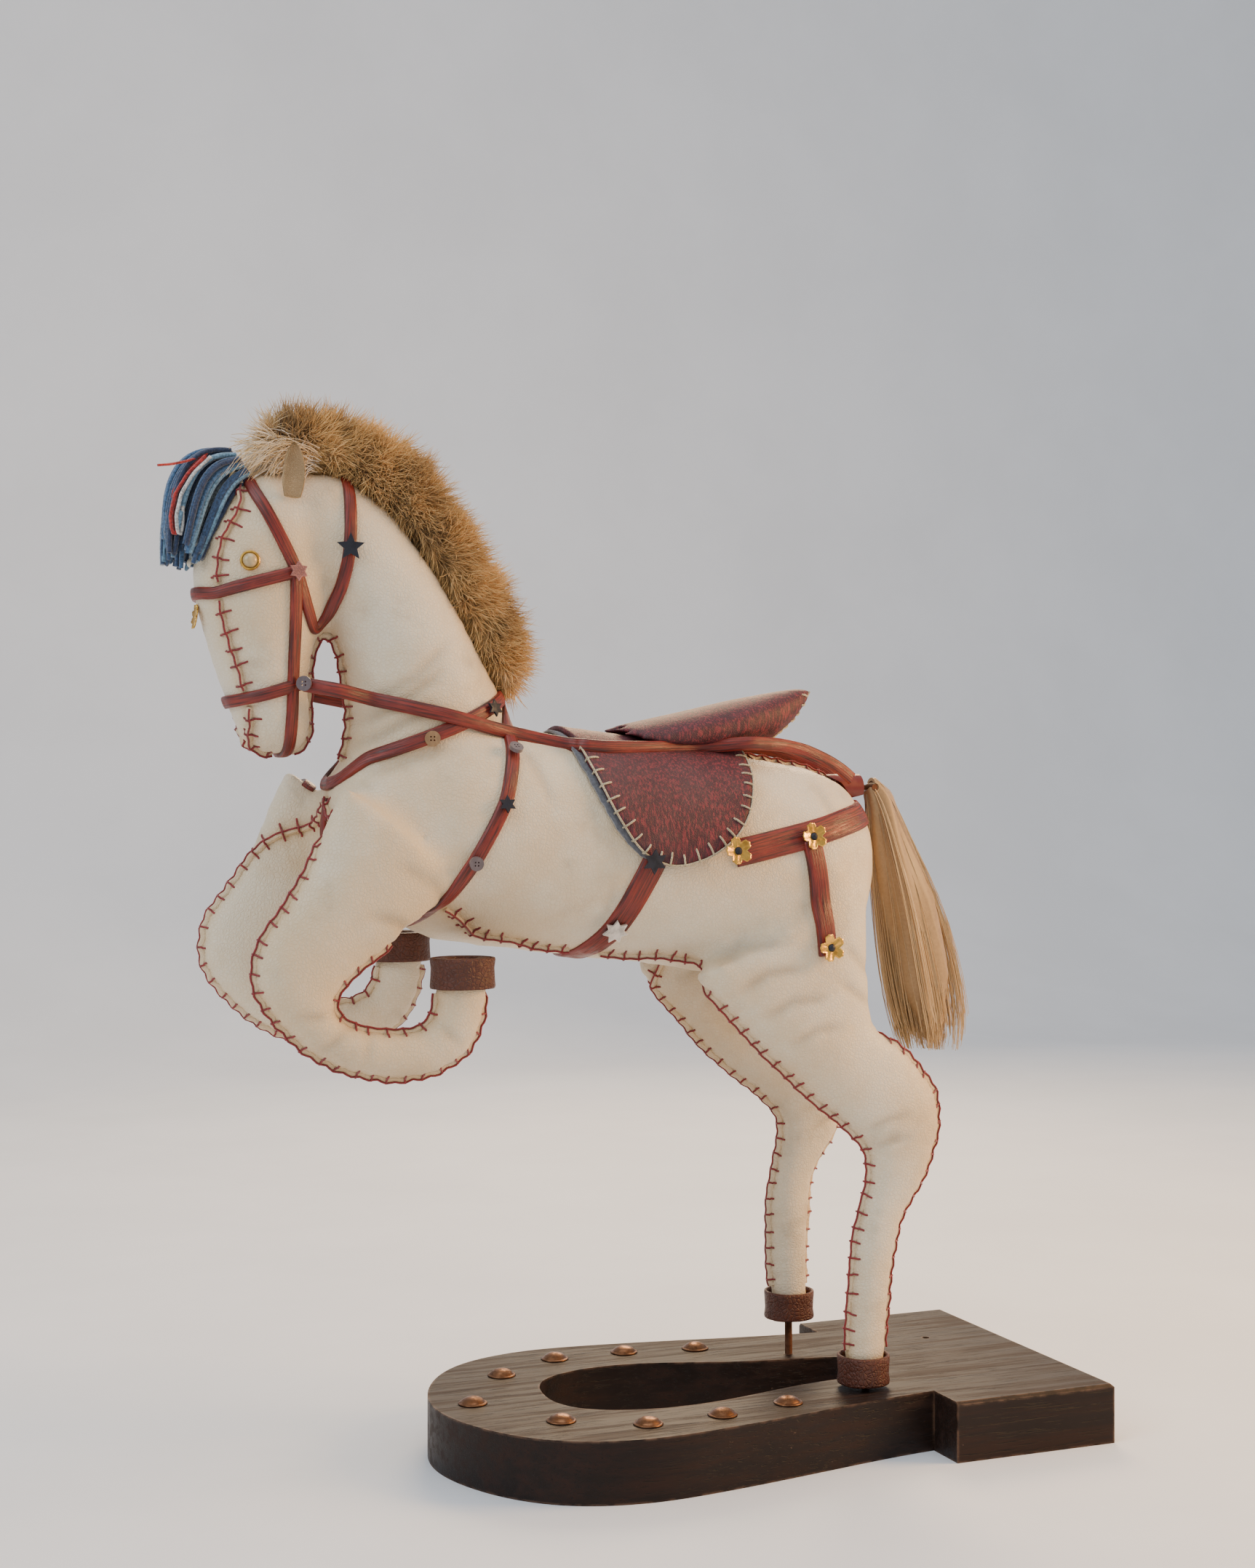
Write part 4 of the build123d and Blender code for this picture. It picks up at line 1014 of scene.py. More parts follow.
def strap_rings(line, surface, width, thick, lift, closed):
    """Rings of a strap that lies on a surface along a line, with rounded shoulders."""
    way = tangents(line, closed)
    normals = smoothed_rows(np.array([surface.nearest(p)[1] for p in line]), 6, closed)
    across = unit(np.cross(way, normals))
    tops, beds = [], []
    for u, height in STRAP_SECTION:
        row = []
        for p, a, n in zip(line, across, normals):
            q = p + a * u * width / 2
            hit, _, distance = surface.nearest(q + n * 0.0005)
            row.append(hit if distance < 0.004 else q)
        row = smoothed_rows(np.array(row), 3, closed)
        tops.append(row + normals * (lift + height * thick))
        beds.append(row - normals * 0.0003)
    rings = np.stack(tops + beds[::-1], 1)
    along = np.concatenate([[0], np.cumsum(np.linalg.norm(np.diff(line, axis=0), axis=1))])
    v = [u * width / 2 for u, _ in STRAP_SECTION]
    uv = [(s, w) for s in along for w in v + v[::-1]]
    return rings, uv


def strap(name, path, width, lift=0.0001, front_limit=-1.0):
    """A strap round the body where the sheet over a profile path cuts the skin."""
    body = built["body"]
    thick = bpy.context.scene.horse_harness.thickness
    signed, _, _ = path_measure(body.co, path)
    parts, uvs = [], []
    for line in level_lines(body.co, body.tris, signed):
        offset, along, total = path_measure(line, path)
        inside = (along > 0) & (along < total) & (np.abs(offset) < 0.002)
        inside &= (line[:, 0] > front_limit) | (np.abs(line[:, 1] - MIDDLE_Y) < 0.0185)
        for points, closed in runs(line, inside):
            if line_length(points) < 0.014:
                continue
            rings, uv = strap_rings(evenly(points, 0.0016, closed), body, width, thick, lift,
                                    closed)
            parts.append(swept(rings, closed))
            uvs.append(uv)
    return gathered(name, parts, uvs)


# ---- Geometry Nodes ------------------------------------------------------------------
def ended(tree, last, inp, out):
    """Close a tree with Realize Instances and Set Material."""
    real = node(tree, "GeometryNodeRealizeInstances", {"Geometry": last.outputs[0]})
    done = node(tree, "GeometryNodeSetMaterial", {"Geometry": real.outputs[0],
                                                  "Material": inp["Finish"]})
    tree.links.new(done.outputs[0], out["Mesh"])
    return tree


def tube_tree():
    """Turns edge paths into tubes whose radius comes from their points."""
    tree = bpy.data.node_groups.get("Thread along paths")
    if tree:
        return tree
    tree, inp, out = group_tree("Thread along paths", "GeometryNodeTree",
                                {"Paths": ("NodeSocketGeometry", None),
                                 "Thread Radius": ("NodeSocketFloat", 0.0003),
                                 "Sides": ("NodeSocketInt", 6),
                                 "Finish": ("NodeSocketMaterial", None)},
                                {"Mesh": "NodeSocketGeometry"})
    curve = node(tree, "GeometryNodeMeshToCurve", {"Mesh": inp["Paths"]})
    taper = node(tree, "GeometryNodeInputNamedAttribute", {"Name": "taper"}, data_type="FLOAT")
    ring = node(tree, "GeometryNodeCurvePrimitiveCircle", {"Resolution": inp["Sides"],
                                                           "Radius": inp["Thread Radius"]},
                mode="RADIUS")
    tube = node(tree, "GeometryNodeCurveToMesh",
                {"Curve": curve.outputs[0], "Profile Curve": ring.outputs[0],
                 "Scale": taper.outputs[0], "Fill Caps": True})
    return ended(tree, tube, inp, out)


def place_tree():
    """Stands a master piece on points, turned by their own rotation."""
    tree = bpy.data.node_groups.get("Pieces on points")
    if tree:
        return tree
    tree, inp, out = group_tree("Pieces on points", "GeometryNodeTree",
                                {"Points": ("NodeSocketGeometry", None),
                                 "Piece": ("NodeSocketObject", None),
                                 "Size": ("NodeSocketFloat", 1.0),
                                 "Finish": ("NodeSocketMaterial", None)},
                                {"Mesh": "NodeSocketGeometry"})
    piece = node(tree, "GeometryNodeObjectInfo", {"Object": inp["Piece"]})
    turn = node(tree, "GeometryNodeInputNamedAttribute", {"Name": "turn"},
                data_type="QUATERNION")
    placed = node(tree, "GeometryNodeInstanceOnPoints",
                  {"Points": inp["Points"], "Instance": piece.outputs["Geometry"],
                   "Rotation": turn.outputs[0], "Scale": inp["Size"]})
    return ended(tree, placed, inp, out)


def fur_tree():
    """Short bent hairs scattered over a surface, leaning along its comb attribute."""
    tree = bpy.data.node_groups.get("Combed fur")
    if tree:
        return tree
    tree, inp, out = group_tree("Combed fur", "GeometryNodeTree",
                                {"Surface": ("NodeSocketGeometry", None),
                                 "Density": ("NodeSocketFloat", 1e6),
                                 "Length": ("NodeSocketFloat", 0.01),
                                 "Root Radius": ("NodeSocketFloat", 0.0002),
                                 "Seed": ("NodeSocketInt", 7),
                                 "Finish": ("NodeSocketMaterial", None)},
                                {"Mesh": "NodeSocketGeometry"})
    roots = node(tree, "GeometryNodeDistributePointsOnFaces",
                 {"Mesh": inp["Surface"], "Density": inp["Density"], "Seed": inp["Seed"]})
    bow = node(tree, "GeometryNodeCurveQuadraticBezier",
               {"Resolution": 3, "Start": (0, 0, 0), "Middle": (0.02, 0, 0.55),
                "End": (0.24, 0.05, 0.97)})
    rise = node(tree, "GeometryNodeSplineParameter").outputs["Factor"]
    marked = node(tree, "GeometryNodeStoreNamedAttribute",
                  {"Geometry": bow.outputs[0], "Name": "rise", "Value": rise},
                  data_type="FLOAT", domain="POINT")
    slim = maths(tree, "SUBTRACT", 1.06, maths(tree, "POWER", rise, 1.6))
    share = maths(tree, "DIVIDE", inp["Root Radius"], inp["Length"])
    ring = node(tree, "GeometryNodeCurvePrimitiveCircle", {"Resolution": 3, "Radius": share},
                mode="RADIUS")
    strand = node(tree, "GeometryNodeCurveToMesh",
                  {"Curve": marked.outputs[0], "Profile Curve": ring.outputs[0], "Scale": slim,
                   "Fill Caps": True})
    comb = node(tree, "GeometryNodeInputNamedAttribute", {"Name": "comb"},
                data_type="FLOAT_VECTOR").outputs[0]
    stray = node(tree, "FunctionNodeRandomValue", {0: (-0.42, -0.42, -0.42), 1: (0.42, 0.42, 0.42),
                                                   "Seed": inp["Seed"]},
                 data_type="FLOAT_VECTOR").outputs[0]
    lean = node(tree, "ShaderNodeVectorMath", {0: comb, 1: stray}, operation="ADD").outputs[0]
    spin = node(tree, "FunctionNodeRandomValue", {2: 0.0, 3: math.tau, "Seed": inp["Seed"]},
                data_type="FLOAT").outputs[1]
    roll = node(tree, "FunctionNodeAxisAngleToRotation", {"Axis": (0, 0, 1), "Angle": spin})
    stand = node(tree, "FunctionNodeAlignRotationToVector", {"Vector": lean}, axis="Z")
    turned = node(tree, "FunctionNodeRotateRotation", {0: stand.outputs[0], 1: roll.outputs[0]},
                  rotation_space="LOCAL")
    tall = node(tree, "FunctionNodeRandomValue", {2: 0.55, 3: 1.12, "Seed": 3},
                data_type="FLOAT").outputs[1]
    reach = maths(tree, "MULTIPLY", tall, inp["Length"])
    placed = node(tree, "GeometryNodeInstanceOnPoints",
                  {"Points": roots.outputs[0], "Instance": strand.outputs[0],
                   "Rotation": turned.outputs[0], "Scale": reach})
    return ended(tree, placed, inp, out)


def grown(obj, tree, **values):
    """Run a Geometry Nodes tree on an object and keep the plain mesh it gives."""
    change = obj.modifiers.new(tree.name, "NODES")
    change.node_group = tree
    for item in tree.interface.items_tree:
        if item.item_type == "SOCKET" and item.in_out == "INPUT" and item.name in values:
            change[item.identifier] = values[item.name]
    return baked(obj)


def paths_object(name, paths, tapers=None, tints=None, dyes=None):
    """Edge paths with their taper, tint and dye attributes, ready for the tube tree."""
    points, edges, start = [], [], 0
    for path in paths:
        points.extend(path)
        edges.extend((start + i, start + i + 1) for i in range(len(path) - 1))
        start += len(path)
    made = bare_object(name, points, [], edges)
    taper = np.concatenate(tapers) if tapers else np.ones(len(points))
    mark(made.data, "taper", taper)
    if tints:
        tint = np.concatenate([np.full(len(p), t) for p, t in zip(paths, tints)])
        rise = np.concatenate([np.linspace(0, 1, len(p)) for p in paths])
        mark(made.data, "tint", tint)
        mark(made.data, "rise", rise)
    if dyes:
        dye = np.concatenate([np.tile((*d, 1.0), (len(p), 1)) for p, d in zip(paths, dyes)])
        made.data.attributes.new("dye", "FLOAT_COLOR", "POINT").data.foreach_set(
            "color", dye.ravel())
    return made


def threads(name, paths, radius, material, sides=6, **marks):
    made = paths_object(name, paths, **marks)
    return grown(made, tube_tree(), **{"Thread Radius": radius, "Sides": sides,
                                       "Finish": finish_named(material)})


def charm_places(label):
    """(centre, turning matrix) of each separate solid of a CAD node of flat charms."""
    copy = merged_copy("charm_probe", [label])
    co, found = coordinates(copy.data), []
    for indices in islands(copy.data):
        own = co[indices]
        centre = (own.min(0) + own.max(0)) / 2
        normal = np.linalg.svd(own - own.mean(0), full_matrices=False)[2][2]
        if normal[1] * (centre[1] - MIDDLE_Y) < 0:
            normal = -normal
        found.append((centre, facing(normal)))
    bpy.data.objects.remove(copy)
    return found


def stood(name, master, places, finish):
    """Copies of a master piece at (centre, matrix) places, as one plain mesh."""
    made = bare_object(name, [p for p, _ in places], [])
    turns = np.array([tuple(m.to_quaternion()) for _, m in places], np.float32)
    made.data.attributes.new("turn", "QUATERNION", "POINT").data.foreach_set(
        "value", turns.ravel())
    grown(made, place_tree(), Piece=master, Size=1.0, Finish=finish_named(finish))
    bpy.data.objects.remove(master)
    return made


def turned(name, outline, segments):
    """Closed lathe piece round Z from (radius, height) points in mm, poles closed."""
    points, faces = [], []
    outline = [(r * MM, z * MM) for r, z in outline]
    rings = [p for p in outline if p[0] > 0]
    for r, z in rings:
        points += [(r * math.cos(math.tau * k / segments), r * math.sin(math.tau * k / segments), z)
                   for k in range(segments)]
    for i in range(len(rings) - 1):
        for k in range(segments):
            m = (k + 1) % segments
            faces.append((i * segments + k, i * segments + m, (i + 1) * segments + m,
                          (i + 1) * segments + k))
    for end, (r, z) in ((0, outline[0]), (len(rings) - 1, outline[-1])):
        points.append((0, 0, z))
        faces += [(end * segments + k, end * segments + (k + 1) % segments, len(points) - 1)
                  for k in range(segments)]
    made = bare_object(name, points, faces)
    outward(made.data)
    return made


built = {}
SEAM_STEP = 0.0008  # metres from one point of a seam to the next
EDGE_STEP = 0.0016
STITCH_STEP = 0.001
REIN_STEP = 0.0018
CUFF_SIDES = 48


# ---- body ----------------------------------------------------------------------------
def seam_spread(co):
    """How far from the middle plane the seam runs beside each point."""
    flat = co[:, [0, 2]]
    total, weight = np.zeros(len(flat)), np.zeros(len(flat))
    for x, height, spread in SEAM_SPREAD:
        near = 1.0 / (((flat - spot(x, height)[[0, 2]]) ** 2).sum(1) + 9e-6) ** 2
        total += near * spread * MM
        weight += near
    return total / weight


def puffed(obj, seam_points):
    """Fill the skin by cloth pressure while its seams stay where they are."""
    s = bpy.context.scene.horse_body
    rest = coordinates(obj.data)
    tree = point_tree(seam_points)
    away = np.array([tree.find(p)[2] for p in rest])
    pins = obj.vertex_groups.new(name="seams")
    for i in np.nonzero(away < 0.0026)[0]:
        pins.add([int(i)], 1.0, "REPLACE")
    cloth = obj.modifiers.new("Stuffing", "CLOTH")
    held = cloth.settings
    held.quality = 5
    held.mass = 0.2
    held.tension_stiffness = held.compression_stiffness = 12
    held.bending_stiffness = 0.4
    held.use_pressure = True
    held.uniform_pressure_force = 5.0
    held.vertex_group_mass = "seams"
    held.effector_weights.gravity = 0.0
    cloth.collision_settings.use_collision = False
    cloth.collision_settings.use_self_collision = False
    scene = bpy.context.scene
    cloth.point_cache.frame_start, cloth.point_cache.frame_end = 1, 14
    for number in range(1, 15):
        scene.frame_set(number)
    baked(obj)
    scene.frame_set(1)
    move = coordinates(obj.data) - rest
    far = np.linalg.norm(move, axis=1, keepdims=True)
    put(obj.data, rest + move * np.minimum(1.0, s.puff_limit / np.maximum(far, 1e-9)))
    return obj


def seam_lines(surface):
    """Closed seam line of each side: {side: [points]}."""
    spread = seam_spread(surface.co)
    found = {}
    for side in (NEAR, FAR):
        value = (surface.co[:, 1] - MIDDLE_Y) * side - spread
        found[side] = [line for line in level_lines(surface.co, surface.tris, value)
                       if line_length(line) > 0.12]
    return found


def crease_depth(co):
    """Depth of the creases at each point."""
    depth = np.zeros(len(co))
    for path, deep, wide in CREASES:
        offset, along, total = path_measure(co, path)
        ends = np.clip(np.minimum(along, total - along) / 0.008, 0, 1)
        depth += deep * MM * ends * np.exp(-(offset / (wide * MM)) ** 2)
    return depth


def make_body():
    """Skin from the CAD panels and stuffing: voxel skin, cloth puffing, gathers and folds."""
    s, stitch = bpy.context.scene.horse_body, bpy.context.scene.horse_stitch
    body = remeshed(merged_copy("leather_body", SKIN_NODES), s.voxel)
    mesh = body.data
    put(mesh, relaxed(coordinates(mesh), edge_pairs(mesh), 5))
    put(mesh, coordinates(mesh) - vertex_normals(mesh) * s.draw_in)
    draft = Surface(mesh)
    seams = np.vstack([line for lines in seam_lines(draft).values() for line in lines])
    puffed(body, seams)
    mesh = subdivided(body).data
    surface = Surface(mesh)
    lines = seam_lines(surface)
    tree_points = [evenly(line, EDGE_STEP, True) for side in lines for line in lines[side]]
    along = np.concatenate([np.arange(len(line)) * EDGE_STEP for line in tree_points])
    every = np.vstack(tree_points)
    tree = point_tree(every)
    found = [tree.find(p)[1:] for p in surface.co]
    nearest = np.array([f[0] for f in found])
    away = np.array([f[1] for f in found])
    gather = (0.5 + 0.5 * np.cos(math.tau * along[nearest] / stitch.pitch)) * np.exp(-away / 0.0055)
    folds = crease_depth(surface.co)
    lumps = np.array([noise.noise(Vector(p) * 34.0) + 0.55 * noise.noise(Vector(p) * 90.0)
                      for p in surface.co])
    move = lumps * 0.00042 - folds - gather * s.pucker
    put(mesh, surface.co + surface.normals * move[:, None])
    dirt = np.exp(-away / 0.0030)
    mark(mesh, "seam_dirt", dirt)
    # crease depth, which the leather turns into painted shade in the folds
    mark(mesh, "crease", np.clip(folds / 0.0011, 0, 1))
    dressed(body, "white_leather", replaces=SKIN_NODES)
    built["body"] = Surface(mesh)


# ---- seams ---------------------------------------------------------------------------
def covered(points):
    """Where a seam is hidden under a cuff, strap, saddle or mane."""
    s = bpy.context.scene.horse_harness
    hidden = np.zeros(len(points), bool)
    for leg in LEGS:
        low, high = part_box(leg + "_cuff")
        inside = (points > np.array(low) - 0.0012) & (points < np.array(high) + 0.0012)
        hidden |= inside.all(1)
    for path, width in ((CROWNPIECE, s.bridle), (BROWBAND, s.bridle), (NOSEBAND, s.bridle),
                        (CHEEK_STRAP, s.bridle), (THROAT_STRAP, s.bridle),
                        (BREAST_COLLAR, s.collar), (SURCINGLE, s.collar), (GIRTH, s.girth),
                        (BREECHING, s.breeching)):
        offset, along, total = path_measure(points, path)
        hidden |= (np.abs(offset) < width / 2) & (along > -0.001) & (along < total)
    back = spot(-325, 0)[0], spot(-133, 0)[0], spot(0, 239)[2]
    hidden |= (points[:, 0] > back[0]) & (points[:, 0] < back[1]) & (points[:, 2] > back[2]) & (
        points[:, 2] > BOARD_TOP + 0.2395 + np.where(points[:, 0] < spot(-286, 0)[0], 0.1055, 0))
    tail = np.linalg.norm(points - spot(-76, 233), axis=1) < 0.009
    return hidden | tail


def seam_frames(points, closed, side):
    """Normals and panel-ward directions along a seam line."""
    body = built["body"]
    normals = unit(smoothed_rows(np.array([body.nearest(p)[1] for p in points]), 4, closed))
    across = unit(np.cross(tangents(points, closed), normals))
    flip = np.sign(across[:, 1] * side)
    if (flip < 0).sum() > len(flip) / 2:
        across = -across
    return normals, across


def make_seams():
    """The proud leather edges along every seam and the blanket stitches over them."""
    s, stitch = bpy.context.scene.horse_body, bpy.context.scene.horse_stitch
    body = built["body"]
    rng = random.Random(11)
    lips, ticks, edging = [], [], []
    h, w = s.lip_height, s.lip_width / 2
    for side, lines in seam_lines(body).items():
        for line in lines:
            keep = ~covered(line)
            if side == FAR:
                keep &= np.abs(line[:, 1] - MIDDLE_Y) > 0.0009
            for run, closed in runs(line, keep):
                if line_length(run) < 0.012:
                    continue
                points = evenly(run, SEAM_STEP, closed, passes=24)
                points = np.array([body.nearest(p)[0] for p in points])
                points = smoothed_rows(points, 3, closed)
                normals, across = seam_frames(points, closed, side)
                count = len(points)
                phase = np.cos(math.tau * np.arange(count) * SEAM_STEP / stitch.pitch)
                tall = (h * (1 - 0.16 * phase))[:, None]
                section = ((-2.0, -0.35), (-1.15, 0.35), (-0.85, 0.85), (-0.2, 1.0), (0.0, 0.86),
                           (0.2, 1.0), (0.85, 0.85), (1.15, 0.35), (2.0, -0.35))
                rings = np.stack([points + across * w * a + normals * tall * b
                                  for a, b in section], 1)
                lips.append(swept(rings, closed))
                step = stitch.pitch / SEAM_STEP
                position = step / 2
                while position < count - 3:
                    i = int(position + rng.uniform(-0.9, 0.9)) % count
                    ticks.append(tick_path(points[i], normals[i], across[i],
                                           tangents(points, closed)[i], h, w, rng))
                    position += step * rng.uniform(0.9, 1.1)
                edge = points[::2] + across[::2] * w * 0.9 + normals[::2] * tall[::2] * 1.02
                if closed:
                    edge = np.vstack([edge, edge[:1]])
                edging.append(edge)
    lip = dressed(gathered("seam_lips", lips), "white_leather")
    level = np.full(len(lip.data.vertices), 0.55)
    mark(lip.data, "seam_dirt", level)
    mark(lip.data, "crease", level * 0)
    row = threads("body_stitches", ticks + edging, stitch.thread / 2, "crimson_thread")
    dressed(row, "crimson_thread")


def tick_path(point, normal, across, way, h, w, rng):
    """One stitch, from the gusset over the seam lip to the panel."""
    body, reach = built["body"], bpy.context.scene.horse_stitch.length
    reach *= rng.uniform(0.85, 1.12)
    slant = way * rng.uniform(-0.0005, 0.0005)
    path = []
    for a in (-0.62 * reach, -0.46 * reach, -0.32 * reach):
        hit, own, _ = body.nearest(point + across * a + slant)
        path.append(hit + own * (0.00034 if a > -0.6 * reach else -0.0001))
    path += [point - across * (w + 0.0003) + normal * h * 0.55,
             point - across * w * 0.6 + normal * (h + 0.00035),
             point + across * w * 0.6 + normal * (h + 0.00035),
             point + across * (w + 0.0003) + normal * h * 0.55]
    for a in (0.45 * reach, 0.72 * reach, reach):
        hit, own, _ = body.nearest(point + across * a - slant)
        path.append(hit + own * (0.00034 if a < reach else -0.0001))
    return np.array(path)


# ---- hooves and ears -----------------------------------------------------------------
def oval(centre, half, height, grow=0.0, sides=CUFF_SIDES):
    """Ring of points round an upright leg end."""
    angle = np.arange(sides) / sides * math.tau
    return np.stack([centre.x + (half[0] + grow) * np.cos(angle),
                     centre.y + (half[1] + grow) * np.sin(angle), np.full(sides, height)], 1)


def make_hooves():
    """A grained cuff with a turned rim and a lapped seam, and a sole, on every leg end."""
    cuffs, soles = [], []
    for leg in LEGS:
        low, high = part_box(leg + "_cuff")
        centre = (low + high) / 2
        half = ((high.x - low.x) / 2, (high.y - low.y) / 2)
        up = 1 if "foreleg" in leg else -1
        rim = high.z if up > 0 else low.z
        back = low.z if up > 0 else high.z
        outer = ((0.0, 0.0001), (0.06, 0.0003), (0.30, 0.0001), (0.65, -0.0001), (0.92, 0.0003),
                 (0.99, 0.0001))
        inner = ((0.99, -0.0007), (0.88, -0.0010), (0.10, -0.0010), (0.0, -0.0008))
        rings = [oval(centre, half, back + (rim - back) * share, grow)
                 for share, grow in outer + inner]
        points, faces = swept(np.array(rings), True)
        lap = np.abs(np.arange(len(points)) % CUFF_SIDES - 30) < 3
        points = points.copy()
        outside = np.arange(len(points)) < CUFF_SIDES * len(outer)
        reach = points[:, :2] - np.array((centre.x, centre.y))
        points[:, :2] += unit(reach) * (0.0005 * (lap & outside))[:, None]
        cuffs.append((points, faces))
        step = -up * 0.0009
        disc = [oval(centre, half, rim + step * depth, grow) for depth, grow in (
            (1.0, -0.0012), (0.4, -0.0014), (0.2, -0.0030), (0.25, -0.0060), (3.2, -0.0060),
            (3.0, -0.0012))]
        soles.append(swept(np.array(disc), False))
    nodes = [leg + "_cuff" for leg in LEGS]
    dressed(gathered("hoof_cuffs", cuffs), "hoof_leather", replaces=nodes)
    dressed(gathered("hoof_sole_discs", soles), "hoof_leather",
            replaces=["hoof_soles"])


def make_ears():
    """Cupped leather leaves beside the poll."""
    leaves = []
    for side, label in ((NEAR, "near_ear"), (FAR, "far_ear")):
        low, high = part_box(label)
        foot = np.array(((low.x + high.x) / 2 - 0.0005, (low.y + high.y) / 2, low.z + 0.006))
        up = unit(np.array((0.05, 0.10 * side, 1.0)))
        out = unit(np.array((-0.5, side * 0.86, 0.1)))
        wide = unit(np.cross(up, out))
        tall = high.z - foot[2]
        fronts, backs = [], []
        for i in range(15):
            t = i / 14
            half = 0.0072 * (1 - t) ** 0.8 * (0.38 + 1.1 * t) + 0.0002
            row_front, row_back = [], []
            for j in range(9):
                u = j / 4 - 1
                cup = 0.0020 * u * u + 0.0016 * t * t
                base = foot + up * tall * t + wide * half * u + out * (cup - 0.0002)
                row_front.append(base + out * 0.0005)
                row_back.append(base - out * 0.0005)
            fronts.append(row_front)
            backs.append(row_back)
        rings = np.array([f + b[::-1] for f, b in zip(fronts, backs)])
        leaves.append(swept(rings, False))
    made = gathered("leather_ears", leaves)
    dressed(made, "ear_leather", replaces=["near_ear", "far_ear"])


# ---- harness -------------------------------------------------------------------------
def make_bridle():
    s = bpy.context.scene.horse_harness
    for name, path, lift, node_name in (
            ("throat_lash", THROAT_STRAP, 0.0001, "throat_strap"),
            ("crown_strap", CROWNPIECE, 0.0002, "crownpiece"),
            ("brow_strap", BROWBAND, 0.0003, "browband"),
            ("cheek_leather", CHEEK_STRAP, 0.0004, "cheek_strap"),
            ("nose_strap", NOSEBAND, 0.0006, "noseband")):
        made = strap(name, path, s.bridle, lift)
        dressed(made, "strap_leather", replaces=[node_name])


def make_harness():
    s = bpy.context.scene.horse_harness
    for name, path, width, lift, nodes in (
            ("breast_strap", BREAST_COLLAR, s.collar, 0.0004, ["breast_collar"]),
            ("surcingle_strap", SURCINGLE, s.collar, 0.0001, ["surcingle"]),
            ("girth_strap", GIRTH, s.girth, 0.0001, ["girth"]),
            ("breeching_strap", BREECHING, s.breeching, 0.0001, ["breeching"]),
            ("hip_drops", HIP_DROP, s.hip_drop, 0.0007, ["near_hip_drop", "far_hip_drop"])):
        shoulder = spot(-301.5, 0)[0] if path is BREAST_COLLAR else -1.0
        made = strap(name, path, width, lift, shoulder)
        dressed(made, "strap_leather", replaces=nodes)
    make_chest_strap()


def make_chest_strap():
    """Short strap hanging from the breast collar down the middle of the chest."""
    body, s = built["body"], bpy.context.scene.horse_harness
    line = []
    for height in np.linspace(229, 196, 18):
        hit = body.ray(spot(-345, height), (1, 0, 0))
        if hit is not None:
            line.append(hit)
    rings, uv = strap_rings(evenly(np.array(line), 0.0015), body, s.bridle, s.thickness, 0.0002,
                            False)
    made = gathered("chest_strap_leather", [swept(rings, False)], [uv])
    dressed(made, "strap_leather", replaces=["chest_strap"])


def outermost(x, height, side):
    """How far out a rein must lie to clear skin, flap and seat at a profile point."""
    origin = spot(x, height, MIDDLE_Y + side * 0.2)
    reach = 0.0
    for layer in (built["body"], built["flaps"], built["seat"]):
        hit = layer.ray(origin, (0, -side, 0), 0.2)
        if hit is not None:
            reach = max(reach, (hit[1] - MIDDLE_Y) * side + 0.0021)
    return reach


def make_reins():
    """Flat reins from the noseband past collar and saddle to the crupper."""
    s = bpy.context.scene.horse_harness
    half_trunk = (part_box("near_side_panel")[1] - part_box("near_side_panel")[0]).y
    parts, uvs = [], []
    for side in (NEAR, FAR):
        centres = []
        for x, height, reach in REIN:
            out = outermost(x, height, side) if reach is None else reach * half_trunk * 0.95
            centres.append(spot(x, height, MIDDLE_Y + side * out))
        line = evenly(np.array(centres), REIN_STEP, passes=0)
        floor = np.array([outermost((p[0] - HEEL_X) / MM, (p[2] - BOARD_TOP) / MM, side)
                          for p in line])
        for _ in range(5):
            line = smoothed_rows(line, 1, False)
            line[:, 1] = MIDDLE_Y + side * np.maximum((line[:, 1] - MIDDLE_Y) * side, floor)
        way = tangents(line)
        level = unit(np.cross(np.tile((0, 0, 1.0), (len(way), 1)), way))
        face = level * np.sign(level[:, 1:2] * side)
        high = unit(np.cross(face, way))
        section = [(u * s.rein / 2, v * s.thickness) for u, v in
                   ((-1, 0.0), (-0.93, 0.45), (0, 0.58), (0.93, 0.45), (1, 0.0), (0.93, -0.45),
                    (0, -0.5), (-0.93, -0.45))]
        rings = np.stack([line + high * a + face * b for a, b in section], 1)
        parts.append(swept(rings, False))
        along = np.arange(len(line)) * REIN_STEP
        uvs.append([(t + side, a) for t in along for a, _ in section])
    dressed(gathered("rein_straps", parts, uvs), "strap_leather",
            replaces=["near_rein", "far_rein"])


